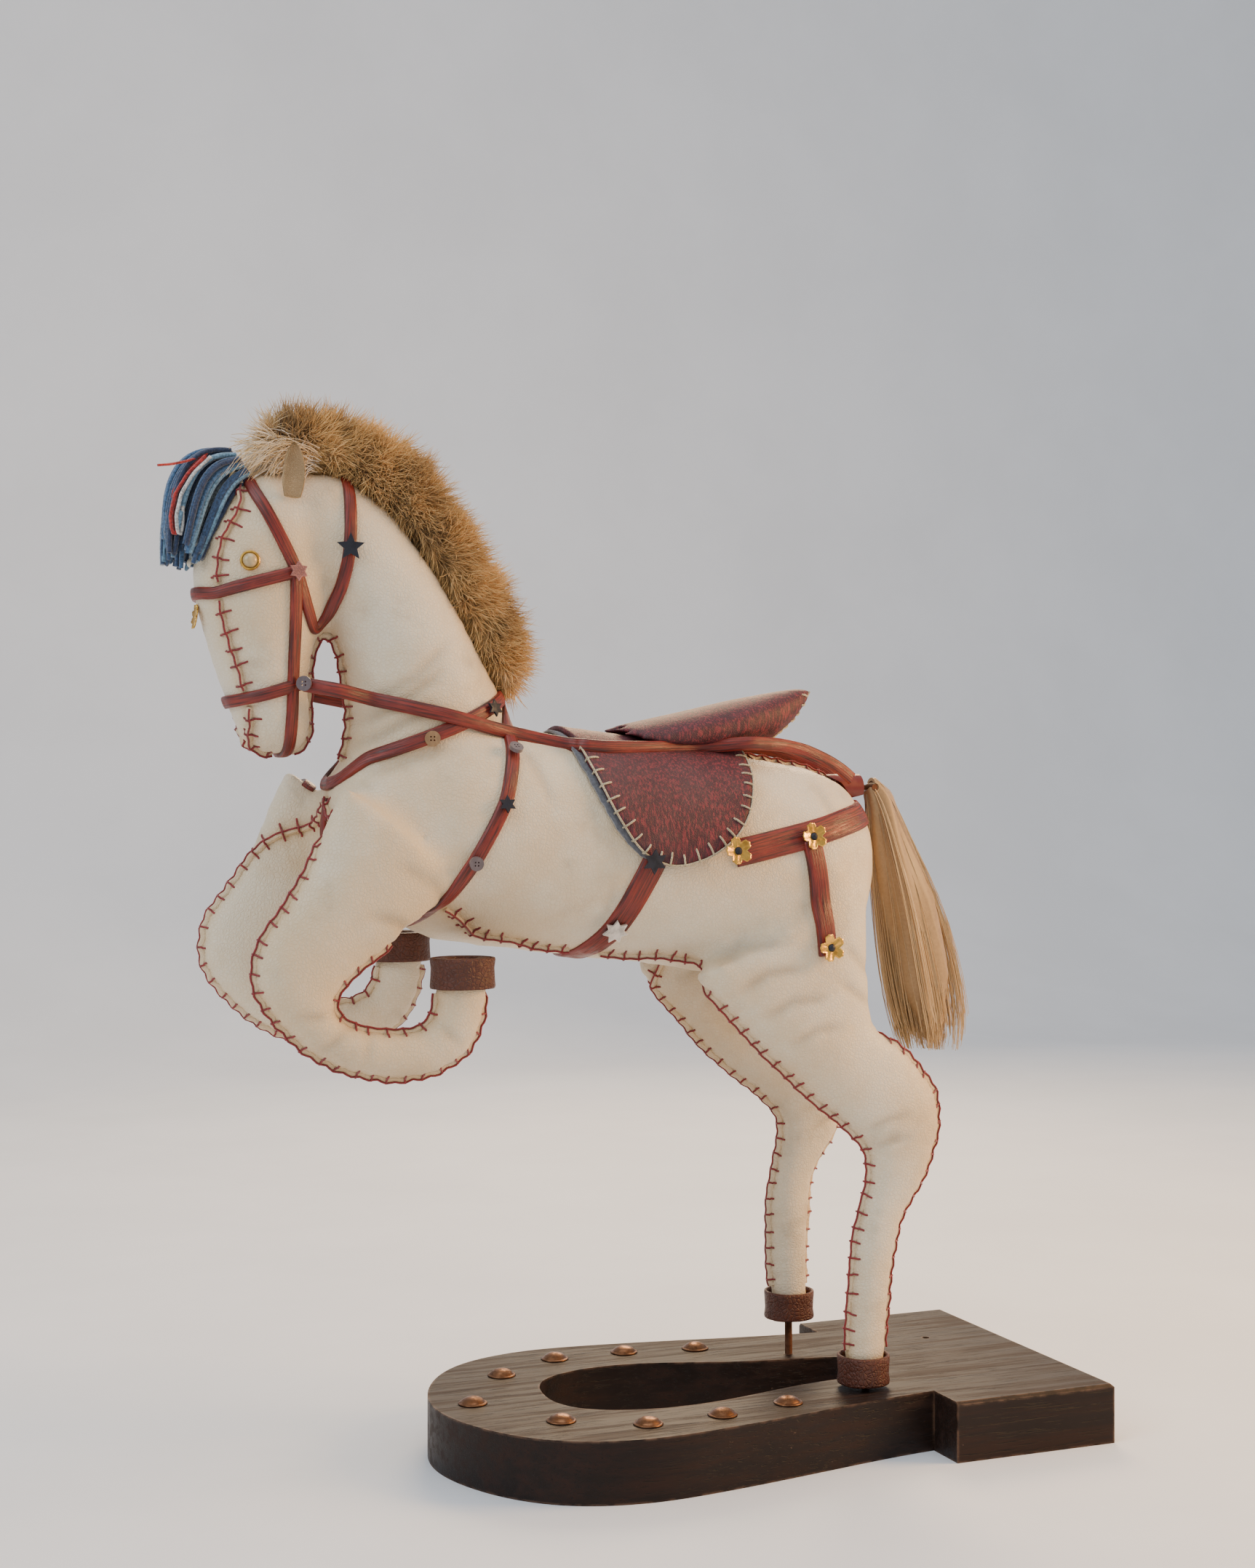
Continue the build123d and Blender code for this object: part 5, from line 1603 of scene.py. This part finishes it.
# ---- saddle --------------------------------------------------------------------------
def saddle_sheet(name, outline, lift, thick):
    """A sheet over the back inside a profile outline, at a height over the skin."""
    body = built["body"]
    axis_z = spot(0, 206)[2]

    def turn_of(x, height):
        hit = body.ray(spot(x, height, MIDDLE_Y + NEAR * 0.2), (0, 1, 0))
        return math.atan2(MIDDLE_Y - hit[1], hit[2] - axis_z)

    near = [(spot(x, 0)[0], turn_of(x, height)) for x, height in outline]
    reach = 0.036  # metres of sheet for each radian round the trunk
    edge = evenly(np.array([(x, a * reach, 0) for x, a in near]
                           + [(x, -a * reach, 0) for x, a in near[::-1]]), 0.0022, True)[:, :2]
    low, high = edge.min(0), edge.max(0)
    gx, gy = np.meshgrid(np.arange(low[0], high[0], 0.0024), np.arange(low[1], high[1], 0.0024))
    grid = np.stack([gx.ravel(), gy.ravel()], 1)
    far = np.array([np.min(np.linalg.norm(edge - g, axis=1)) for g in grid])
    grid = grid[far > 0.0014]
    points = [Vector(p) for p in np.vstack([edge, grid])]
    ring = list(range(len(edge)))
    flat, _, faces, *_ = delaunay_2d_cdt(points, [], [ring], 1, 1e-7)
    placed = []
    for p in flat:
        angle = p.y / reach
        origin = np.array((p.x, MIDDLE_Y, axis_z))
        way = np.array((0, -math.sin(angle), math.cos(angle)))
        hit = body.ray(origin, way, 0.2)
        hit = origin + way * 0.04 if hit is None else hit
        _, normal, _ = body.nearest(hit)
        placed.append(hit + (0.6 * normal + 0.4 * way) * lift)
    sheet = bare_object(name, placed, [tuple(f) for f in faces])
    mesh = sheet.data
    put(mesh, relaxed(coordinates(mesh), edge_pairs(mesh), 2, 0.4))
    work = bmesh.new()
    work.from_mesh(mesh)
    bmesh.ops.recalc_face_normals(work, faces=work.faces)
    if sum(f.normal.z for f in work.faces) < 0:
        bmesh.ops.reverse_faces(work, faces=work.faces)
    work.to_mesh(mesh)
    rim = ordered_rim(work)
    work.free()
    border = coordinates(mesh)[rim]
    wall = sheet.modifiers.new("Thickness", "SOLIDIFY")
    wall.thickness = thick
    wall.offset = 1.0
    baked(sheet)
    return sheet, border


def ordered_rim(work):
    """Vertex indices round the longest open border of a bmesh."""
    links = {}
    for edge in work.edges:
        if edge.is_boundary:
            a, b = edge.verts[0].index, edge.verts[1].index
            links.setdefault(a, []).append(b)
            links.setdefault(b, []).append(a)
    return max(traced(links), key=len)


def make_saddle():
    """Suede lining, plum flaps and the raised seat, with cream blanket stitches."""
    s, stitch = bpy.context.scene.horse_saddle, bpy.context.scene.horse_stitch
    lining, _ = saddle_sheet("suede_lining", LINING, 0.0008, s.lining)
    dressed(lining, "grey_suede", replaces=["saddle_lining"])
    flaps, border = saddle_sheet("saddle_leather_flaps", FLAP, 0.0020, s.flap)
    dressed(flaps, "saddle_leather", replaces=["saddle_flaps"])
    built["flaps"] = Surface(flaps.data)
    make_seat()
    paths = edge_stitches(border, built["flaps"], s.flap)
    paths += cantle_stitches()
    made = threads("saddle_stitches", paths, stitch.thread * 0.52, "cream_thread")
    dressed(made, "cream_thread")


def edge_stitches(border, surface, thick):
    """Blanket stitches that wrap a sheet's border and reach into its top."""
    stitch, rng, paths = bpy.context.scene.horse_stitch, random.Random(5), []
    line = evenly(border, STITCH_STEP, True)
    way = tangents(line, True)
    top = built["seat_top"]
    rail = []
    for i in range(len(line)):
        _, normal, _ = built["body"].nearest(line[i])
        inward = unit(np.cross(way[i], normal))
        probe = surface.nearest(line[i] + inward * 0.004 + normal * 0.002)
        if np.linalg.norm(probe[0] - (line[i] + inward * 0.004)) > 0.0035:
            inward = -inward
        hidden = line[i][2] > top
        rail.append((line[i] - inward * 0.0003 + normal * thick * 0.9, normal, inward, hidden))
    edge = []
    for i, (place, normal, inward, hidden) in enumerate(rail):
        if hidden:
            if len(edge) > 5:
                paths.append(np.array(edge))
            edge = []
        elif i % 2 == 0:
            edge.append(place + normal * 0.0002)
    if len(edge) > 5:
        paths.append(np.array(edge))
    position = 0.0
    while position < len(rail) - 2:
        place, normal, inward, hidden = rail[int(position)]
        if not hidden:
            reach = stitch.length * rng.uniform(0.85, 1.15)
            path = [place - normal * thick * 1.1 + inward * 0.0012,
                    place - normal * thick - inward * 0.0002,
                    place - inward * 0.0002 + normal * 0.0003]
            for share in (0.35, 0.7, 1.0):
                hit, own, _ = surface.nearest(place + inward * reach * share + normal * 0.001)
                path.append(hit + own * (0.0003 if share < 1 else -0.0002))
            paths.append(np.array(path))
        position += stitch.pitch / STITCH_STEP * rng.uniform(0.82, 1.0)
    return paths


def make_seat():
    """Seat from its CAD solid: skinned, rounded and sharpened at the cantle."""
    seat = remeshed(merged_copy("saddle_seat_leather", ["saddle_seat"]), 0.0016)
    mesh = seat.data
    put(mesh, relaxed(coordinates(mesh), edge_pairs(mesh), 3))
    put(mesh, coordinates(mesh) + vertex_normals(mesh) * 0.0004)
    subdivided(seat)
    built["seat"] = Surface(seat.data)
    built["seat_top"] = spot(0, 246)[2]
    dressed(seat, "saddle_leather", replaces=["saddle_seat"])


def cantle_stitches():
    """Stitches down the back edge of the cantle on both sides."""
    stitch, surface, paths = bpy.context.scene.horse_stitch, built["seat"], []
    rng = random.Random(9)
    back = [(-101.5, 270.5), (-104, 266), (-108, 260), (-113, 254.5), (-119, 250)]
    for side in (NEAR, FAR):
        line = []
        for x, height in back:
            hit, normal, _ = surface.nearest(spot(x + 1.5, height, MIDDLE_Y + side * 0.004))
            line.append(hit + normal * 0.0003)
        line = evenly(np.array(line), STITCH_STEP)
        paths.append(line)
        i = 2.0
        while i < len(line) - 1:
            start = line[int(i)]
            path = [start]
            for share in (0.4, 0.8, 1.0):
                aim = start + np.array((-1.0, side * 0.35, -0.15)) * stitch.length * share
                hit, normal, _ = surface.nearest(aim)
                path.append(hit + normal * (0.0003 if share < 1 else -0.0002))
            paths.append(np.array(path))
            i += stitch.pitch / STITCH_STEP * rng.uniform(0.5, 0.66)
    return paths


# ---- hair ----------------------------------------------------------------------------
def make_mane():
    """Long-pile fur strip along the crest: a combed core and two layers of hairs."""
    s = bpy.context.scene.horse_hair
    core = remeshed(merged_copy("mane_core", ["mane"]), 0.0022)
    mesh = core.data
    put(mesh, relaxed(coordinates(mesh), edge_pairs(mesh), 4))
    put(mesh, coordinates(mesh) - vertex_normals(mesh) * 0.0028)
    co, normals = coordinates(mesh), vertex_normals(mesh)
    start, end = spot(-318, 352), spot(-228, 268)
    share = np.clip(((co - start) @ (end - start)) / ((end - start) @ (end - start)), 0, 1)
    clump = np.array([noise.noise_vector(Vector(p) * 130.0) for p in co])
    flow = np.stack([0.35 + 0.15 * share, np.zeros(len(co)), 0.25 - 0.95 * share], 1)
    comb = unit(normals * 0.85 + flow * 0.75 + clump * 1.15)
    white = np.clip(1.0 - (co[:, 0] - spot(-318, 0)[0]) / 0.030, 0, 1)
    patch = np.array([noise.noise(Vector(p) * 60.0) + 0.7 * noise.noise(Vector(p) * 150.0)
                      for p in co])
    tint = np.clip(0.50 + 0.85 * patch + 0.95 * white * (patch > -0.2), 0.0, 1.9)
    mesh.attributes.new("comb", "FLOAT_VECTOR", "POINT").data.foreach_set(
        "vector", comb.astype(np.float32).ravel())
    mark(mesh, "tint", tint)
    mark(mesh, "rise", np.zeros(len(co)))
    for index, (length, density) in enumerate(((1.0, 1.0), (0.72, 1.0))):
        layer = linked(f"mane_fur_{index + 1}", mesh.copy())
        grown(layer, fur_tree(), Density=s.fur_density * density, Length=s.fur_length * length,
              Seed=17 + index, Finish=finish_named("mane_fur"),
              **{"Root Radius": s.fur_strand})
        dressed(layer, "mane_fur")
    dressed(core, "mane_fur", replaces=["mane"])
    make_tuft()
    make_wisps()


def clear_of_body(line, gap):
    """The line, pushed out of the skin wherever it comes closer than a gap."""
    clear = []
    for p in line:
        hit, normal, _ = built["body"].nearest(p)
        clear.append(p + normal * max(0.0, gap - float((p - hit) @ normal)))
    return np.array(clear)


def make_tuft():
    """Long pale tuft at the front of the mane, over the poll and the ears."""
    rng, paths, tints = random.Random(29), [], []
    for _ in range(900):
        side = rng.uniform(-1, 1)
        root = spot(rng.uniform(-319, -301), rng.uniform(346, 356), MIDDLE_Y + side * 0.0075)
        forward, up = rng.uniform(3, 15), rng.uniform(2, 11)
        bend = rng.uniform(3, 12)
        line = [root + np.array((-forward * t, side * 5.0 * t, up * t - bend * t * t)) * MM
                for t in np.linspace(0, 1, 6)]
        paths.append(clear_of_body(np.array(line), 0.0012))
        tints.append(rng.uniform(1.1, 2.0))
    tapers = [np.linspace(1, 0.4, len(p)) for p in paths]
    made = threads("mane_tuft", paths, 0.00024, "mane_fur", 4, tapers=tapers, tints=tints)
    dressed(made, "mane_fur")


def make_wisps():
    """Fine pale hairs that fall from the mane over the ear and the forehead."""
    rng, paths, tints = random.Random(23), [], []
    for _ in range(150):
        side = rng.choice((NEAR, NEAR, FAR))
        y = MIDDLE_Y + side * rng.uniform(0.001, 0.013)
        x, height = -308 + rng.uniform(-10, 6), 351 + rng.uniform(-2, 4)
        reach, drop = rng.uniform(10, 24), rng.uniform(6, 16)
        line = []
        for k in range(7):
            t = k / 6
            line.append(spot(x - reach * t, height + 5 * math.sin(math.pi * t * 0.7) - drop * t * t,
                             y + side * 0.004 * t + rng.uniform(-1, 1) * 0.0004))
        paths.append(clear_of_body(line, 0.0022))
        tints.append(rng.uniform(0.6, 1.6))
    tapers = [np.linspace(1, 0.35, len(p)) for p in paths]
    made = threads("forehead_wisps", paths, 0.00013, "mane_fur", 4, tapers=tapers, tints=tints)
    dressed(made, "mane_fur")


def through_form(form, a, b, shares):
    """Line through a hair form: a runs front to back, b across, both within one."""
    stations = []
    for front, back, half in form:
        mid = [(front[i] + back[i]) / 2 for i in (0, 1)]
        stations.append(spot(mid[0] + a * (back[0] - front[0]) / 2,
                             mid[1] + a * (back[1] - front[1]) / 2, MIDDLE_Y + b * half * MM))
    stations = np.array(stations)
    places = np.linspace(0, 1, len(stations))
    line = np.stack([np.interp(shares, places, stations[:, k]) for k in range(3)], 1)
    return smoothed_rows(line, 2, False)


def make_tail():
    """Horsehair in loose locks over a narrow core, gathered at the dock."""
    s, rng = bpy.context.scene.horse_hair, random.Random(31)
    locks = []
    for _ in range(46):
        angle, reach = rng.uniform(0, math.tau), math.sqrt(rng.uniform(0.02, 1))
        locks.append((reach * math.cos(angle), reach * math.sin(angle), rng.uniform(-1, 1),
                      rng.uniform(0.84, 1.03), rng.uniform(-0.25, 0.45)))
    paths, tints, tapers = [], [], []
    for number in range(s.tail_strands):
        a, b, bend, length, tone = rng.choice(locks)
        loose = 0.05 if number % 9 == 0 else 0.0
        da, db = rng.gauss(0, 0.11 + loose), rng.gauss(0, 0.11 + loose)
        end = length * rng.uniform(0.86, 1.02)
        shares = np.linspace(0.0, min(end, 1.0), 13)
        gather = 0.55 + 0.45 * shares
        line = through_form(TAIL_FORM, 0, 0, shares)
        outer = through_form(TAIL_FORM, a + da, b + db, shares)
        line = line + (outer - line) * gather[:, None]
        sway = np.sin(shares * 5.5 + bend * 3 + a * 2) * 0.0011 * shares
        line[:, 0] += sway
        line[:, 1] += np.cos(shares * 4.1 + bend * 5) * 0.0009 * shares
        paths.append(line)
        # painted shade: strands inside the tail and at its front, towards the body, are darkened
        inner = 1.0 - min(1.0, a * a + b * b)
        front = max(0.0, -a)
        tints.append(min(1.35, max(0.02, 0.72 + tone - 0.35 * inner - 0.5 * front
                                   + rng.gauss(0, 0.12))))
        tapers.append(np.linspace(1.0, 0.5, len(line)))
    hairs = threads("tail_hairs", paths, s.tail_strand, "horsehair", 3, tapers=tapers,
                    tints=tints)
    dressed(hairs, "horsehair", body="tail_hair")
    shares, sides = np.linspace(0, 0.90, 26), 20
    rings = []
    for share in shares:
        ring = []
        for k in range(sides):
            angle = math.tau * k / sides
            wide = 0.70 + 0.10 * math.sin(5 * angle + share * 9)
            wide *= 1.0 if share < 0.7 else 1.0 - 0.6 * (share - 0.7) / 0.2
            ring.append(through_form(TAIL_FORM, wide * math.cos(angle), wide * math.sin(angle),
                                     np.array([share]))[0])
        rings.append(ring)
    core = gathered("tail_core", [swept(np.array(rings), False)])
    count = len(core.data.vertices)
    # the core is coloured dark as painted shade deep in the tail
    for label, level in (("tint", 0.30), ("rise", 0.2)):
        mark(core.data, label, np.full(count, level))
    dressed(core, "horsehair", body="tail_hair", replaces=["tail_hair"])


def yarn_dye_and_highlight(rng, b):
    """Colour of one yarn: mostly blues, the odd pale one, oftener on the far side."""
    # the last, pale colour is a painted highlight
    dyes = ((0.018, 0.035, 0.085), (0.030, 0.070, 0.150), (0.055, 0.135, 0.26),
            (0.16, 0.30, 0.42), (0.50, 0.58, 0.60))
    return rng.choices(dyes, (5, 6, 4, 2, 1.2 + max(0.0, b)))[0]


def make_forelock():
    """Wool yarns over the tie bar, hanging in front of the forehead."""
    s, rng = bpy.context.scene.horse_hair, random.Random(41)
    paths, dyes, tapers = [], [], []
    for _ in range(s.yarns):
        a, b = rng.uniform(-1, 1), rng.uniform(-1, 1)
        end = rng.uniform(0.80, 1.0)
        shares = np.linspace(0.0, end, 15)
        line = through_form(FORELOCK_FORM, a, b, shares)
        line[:, 1] += np.sin(shares * 7 + a * 5) * 0.0010 * shares
        line[:, 0] += np.cos(shares * 6 + b * 4) * 0.0007 * shares
        if rng.random() < 0.45:
            side = rng.uniform(-1, 1) * 0.0035
            back = [line[-1] + np.array((rng.uniform(-1, 0.5) * 0.002, side * 0.6, -0.0018)),
                    line[-1] + np.array((0.0, side, 0.0008)), line[-2] + np.array((0, side, 0.003)),
                    line[-3] + np.array((0, side, 0.002))]
            line = np.vstack([line, back])
        paths.append(clear_of_body(evenly(line, 0.0022), 0.0009))
        # the pale strands picked here are a painted highlight
        dyes.append(yarn_dye_and_highlight(rng, b))
        tapers.append(np.full(len(paths[-1]), rng.uniform(0.78, 1.05)))
    red, white = (0.42, 0.022, 0.016), (0.62, 0.60, 0.56)
    hang = ((-343, 349), (-352, 346), (-357, 337), (-358.5, 326), (-356, 316), (-352, 313),
            (-351, 320), (-353, 331))
    for k, (y, dye) in enumerate(((-0.0115, red), (-0.0095, red), (-0.0128, white),
                                  (-0.0070, red), (-0.0040, white), (0.006, red))):
        line = np.array([spot(x + (k % 3) * 0.9 - 0.6, h + (k % 2) * 1.5, MIDDLE_Y + y * 0.75
                              + 0.0012 * math.sin(i + k)) for i, (x, h) in enumerate(hang)])
        paths.append(evenly(line, 0.0020))
        dyes.append(dye)
        tapers.append(np.full(len(paths[-1]), 0.72))
    stray = ((-345, 349, -6), (-352, 346, -9), (-357.5, 343, -11), (-361, 344.5, -12))
    line = np.array([spot(x, h, MIDDLE_Y + y * MM) for x, h, y in stray])
    paths.append(evenly(line, 0.0020))
    dyes.append(red)
    tapers.append(np.full(len(paths[-1]), 0.5))
    made = threads("forelock_yarns", paths, s.yarn / 2, "yarn_wool", 8, tapers=tapers, dyes=dyes)
    dressed(made, "yarn_wool", body="forelock", replaces=["forelock"])


# ---- charms --------------------------------------------------------------------------
def flower_master(petals, radius, thick, dish):
    """Stamped flower: scalloped petals with ribs, a dished face and a beaded middle."""
    sides, rows = petals * 14, 9
    tops, unders = [], []
    for i in range(rows):
        share = 0.16 + 0.84 * i / (rows - 1)
        top, under = [], []
        for k in range(sides):
            angle = math.tau * k / sides
            phase = (angle * petals / math.tau) % 1.0 - 0.5
            lobe = 1.0 - 0.42 * (2 * abs(phase)) ** 2.6 + 0.035 * math.cos(phase * math.tau * 4)
            r = radius * share * (1 - share + share * lobe)
            rib = 0.10 * math.cos(phase * math.tau * 3) * share
            z = dish * (share ** 2 * 0.9 + 0.25 * math.cos(phase * math.tau) * share) + rib * thick
            top.append((r * math.cos(angle), r * math.sin(angle), thick + z))
            under.append((r * math.cos(angle), r * math.sin(angle), z))
        tops.append(top)
        unders.append(under)
    return gathered("flower_master", [swept(np.array(tops + unders[::-1]), True)])


def make_spangles():
    """Gold flowers with dark beaded middles, and the openwork piece on the blaze."""
    places = charm_places("gold_flowers")
    flower = flower_master(5, 5.3 * MM, 0.45 * MM, 0.9 * MM)
    dressed(stood("gold_flower_spangles", flower, places, "gold_brass"), "gold_brass",
            replaces=["gold_flowers"])
    # painted shade: a dark bead fills the hole in the middle of each flower
    hole_shade_bead = turned("bead_master", [(0, -0.2), (1.5, -0.2), (1.6, 0.5), (1.2, 1.1), (0.6, 1.5),
                                  (0, 1.6)], 16)
    dressed(stood("spangle_beads", hole_shade_bead, places, "dark_metal"), "dark_metal")
    low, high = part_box("blaze_ornament")
    middle = (np.array(low) + np.array(high)) / 2
    hit = built["body"].ray(middle - np.array((0.05, 0, 0)), (1, 0, 0))
    centre = hit - np.array((0.0013, 0, 0))
    turn = facing(unit(np.array((-1.0, 0, 0.12))))
    leaf = flower_master(8, 4.5 * MM, 0.5 * MM, 0.5 * MM)
    dressed(stood("blaze_filigree", leaf, [(centre, turn)], "gold_brass"), "gold_brass",
            replaces=["blaze_ornament"])


def make_eyes():
    """Pearly domes in brass cups, and the bone tack at the top of the blaze."""
    places = []
    for centre, _ in charm_places("eyes"):
        hit, normal, _ = built["body"].nearest(centre)
        places.append((hit, facing(normal)))
    cup = turned("cup_master", [(0, -0.8), (3.3, -0.8), (3.6, 0.3), (3.5, 1.0), (3.1, 1.3),
                                (2.7, 1.0), (2.6, 0.6), (0, 0.6)], 36)
    dome = turned("dome_master", [(0, 0.3), (2.6, 0.3), (2.65, 0.9), (2.3, 1.7), (1.6, 2.3),
                                  (0.8, 2.62), (0, 2.7)], 36)
    dressed(stood("eye_cups", cup, places, "gold_brass"), "gold_brass",
            replaces=["eyes"])
    dressed(stood("eye_domes", dome, places, "eye_pearl"), "eye_pearl")


def make_nails():
    """Domed nails with a rolled rim in the base."""
    copy = merged_copy("nail_probe", ["base_nails"])
    co = coordinates(copy.data)
    flat = Matrix.Identity(3)
    places = []
    for indices in islands(copy.data):
        own = co[indices]
        middle = (own.min(0) + own.max(0)) / 2
        places.append((np.array((middle[0], middle[1], BOARD_TOP)), flat))
    bpy.data.objects.remove(copy)
    tall = (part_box("base_nails")[1].z - BOARD_TOP) / MM
    nail = turned("nail_master", [(0, -5), (1.1, -4), (1.2, -0.3), (5.2, -0.1), (5.6, 0.25),
                                  (5.3, 0.65), (4.9, 0.6), (4.6, 0.95), (3.7, 0.66 * tall),
                                  (2.5, 0.86 * tall), (1.2, 0.97 * tall), (0, tall)], 36)
    dressed(stood("domed_nails", nail, places, "antique_brass"), "antique_brass",
            replaces=["base_nails"])


CAD_FINISHES = (
    ("base_board", "stained_wood"), ("near_leg_rod", "rusty_iron"), ("far_leg_rod", "rusty_iron"),
    ("spine_wire", "rusty_iron"), ("near_foreleg_wire", "rusty_iron"),
    ("far_foreleg_wire", "rusty_iron"), ("bridle_rosettes", "rosette_leather"),
    ("rein_buttons", "horn"), ("throat_stars", "dark_metal"), ("small_stars", "dark_metal"),
    ("collar_buttons", "button_wood"), ("surcingle_buttons", "horn"), ("flap_stars", "dark_metal"),
    ("girth_flowers", "silver_metal"), ("blaze_tack", "bone"), ("tail_dock", "ear_leather"),
    ("crupper_loop", "strap_leather"), ("forelock_tie", "cream_thread"))


def make_finishes():
    """Procedural materials on the CAD parts that show as they are."""
    for label, material in CAD_FINISHES:
        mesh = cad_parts[label].data
        mesh.materials.clear()
        mesh.materials.append(finish_named(material))


# ---- stage ---------------------------------------------------------------------------
def make_stage():
    s = bpy.context.scene.horse_stage
    scene = bpy.context.scene
    profile_points = [(-3.0, 0.0)] + [(1.1 + 0.5 * math.sin(a), 0.5 - 0.5 * math.cos(a))
                                      for a in np.linspace(0, math.pi / 2, 14)] + [(1.6, 2.6)]
    points, faces = [], []
    for y, z in profile_points:
        points += [(-3.5, y, z), (3.5, y, z)]
    for i in range(len(profile_points) - 1):
        faces.append((2 * i, 2 * i + 1, 2 * i + 3, 2 * i + 2))
    floor = bare_object("stage_sweep", points, faces)
    floor.data.polygons.foreach_set("use_smooth", [True] * len(faces))
    floor.data.materials.append(stage_paint("stage_paint", s.floor))
    world = bpy.data.worlds.new("studio")
    scene.world = world
    world.use_nodes = True
    sky = world.node_tree.nodes["Background"]
    sky.inputs["Color"].default_value = (0.92, 0.95, 1.0, 1.0)
    sky.inputs["Strength"].default_value = 0.66
    for name, place, size_m, power, tone in (
            ("cool_window", (-1.25, -0.45, 1.05), 0.9, s.fill, (0.84, 0.92, 1.0)),
            ("warm_side", (0.80, -0.30, 0.50), 0.35, s.key * 1.1, (1.0, 0.56, 0.20)),
            ("warm_back", (0.45, 0.85, 0.75), 0.5, s.key, (1.0, 0.70, 0.40)),
            ("top_soft", (-0.1, -0.2, 1.5), 1.1, s.fill * 0.8, (0.97, 0.98, 1.0))):
        lamp = bpy.data.lights.new(name, "AREA")
        lamp.energy, lamp.size, lamp.color = power, size_m, tone
        made = bpy.data.objects.new(name, lamp)
        made.location = place
        aim = Vector((0.0, 0.0, 0.2)) - Vector(place)
        made.rotation_euler = aim.to_track_quat("-Z", "Y").to_euler()
        scene.collection.objects.link(made)
    camera = bpy.data.cameras.new("camera")
    camera.lens = s.lens
    made = bpy.data.objects.new("camera", camera)
    made.location = (-0.32161, -0.79887, 0.25631)
    made.rotation_euler = (math.radians(90), 0, math.radians(-21.98))
    scene.collection.objects.link(made)
    scene.camera = made


# ---- operators -----------------------------------------------------------------------
def operator(name, label, doc, work):
    """An operator class that builds one group of pieces."""
    def execute(self, context):
        work()
        return {"FINISHED"}
    return type("HORSE_OT_" + name, (bpy.types.Operator,),
                {"bl_idname": "horse." + name, "bl_label": label, "__doc__": doc,
                 "execute": execute})


OPERATORS = [
    operator("body", "Leather body", "Build the puffed leather skin", make_body),
    operator("seams", "Seams and stitches", "Build the seam lips and blanket stitches", make_seams),
    operator("hooves", "Hooves", "Build the hoof cuffs and soles", make_hooves),
    operator("ears", "Ears", "Build the leather ears", make_ears),
    operator("bridle", "Bridle", "Build the straps of the head", make_bridle),
    operator("harness", "Harness", "Build the straps of the body", make_harness),
    operator("saddle", "Saddle", "Build lining, flaps, seat and their stitches", make_saddle),
    operator("reins", "Reins", "Build both reins", make_reins),
    operator("mane", "Mane", "Grow the fur mane and its wisps", make_mane),
    operator("forelock", "Forelock", "Build the yarn forelock", make_forelock),
    operator("tail", "Tail", "Grow the horsehair tail", make_tail),
    operator("spangles", "Spangles", "Build the gold flowers and the filigree", make_spangles),
    operator("eyes", "Eyes", "Build the eye buttons", make_eyes),
    operator("nails", "Nails", "Build the domed nails", make_nails),
    operator("finishes", "Finishes", "Give the CAD parts their materials", make_finishes),
    operator("stage", "Stage", "Build floor, lights and camera", make_stage),
]


class HORSE_PT_panel(bpy.types.Panel):
    """Every piece of the horse and its settings."""
    bl_label = "Leather horse"
    bl_idname = "HORSE_PT_panel"
    bl_space_type = "VIEW_3D"
    bl_region_type = "UI"
    bl_category = "Horse"

    def draw(self, context):
        for key, group_class in SETTINGS.items():
            box = self.layout.box()
            box.label(text=group_class.__doc__)
            for prop in group_class.__annotations__:
                box.prop(getattr(context.scene, key), prop)
        for kind in OPERATORS:
            self.layout.operator(kind.bl_idname)


def register():
    for key, group_class in SETTINGS.items():
        bpy.utils.register_class(group_class)
        setattr(bpy.types.Scene, key, PointerProperty(type=group_class))
    for kind in OPERATORS:
        bpy.utils.register_class(kind)
    bpy.utils.register_class(HORSE_PT_panel)


def unregister():
    bpy.utils.unregister_class(HORSE_PT_panel)
    for kind in reversed(OPERATORS):
        bpy.utils.unregister_class(kind)
    for key, group_class in SETTINGS.items():
        delattr(bpy.types.Scene, key)
        bpy.utils.unregister_class(group_class)


def main():
    register()
    for kind in OPERATORS:
        getattr(bpy.ops.horse, kind.bl_idname.split(".")[1])()


if __name__ == "__main__":
    main()
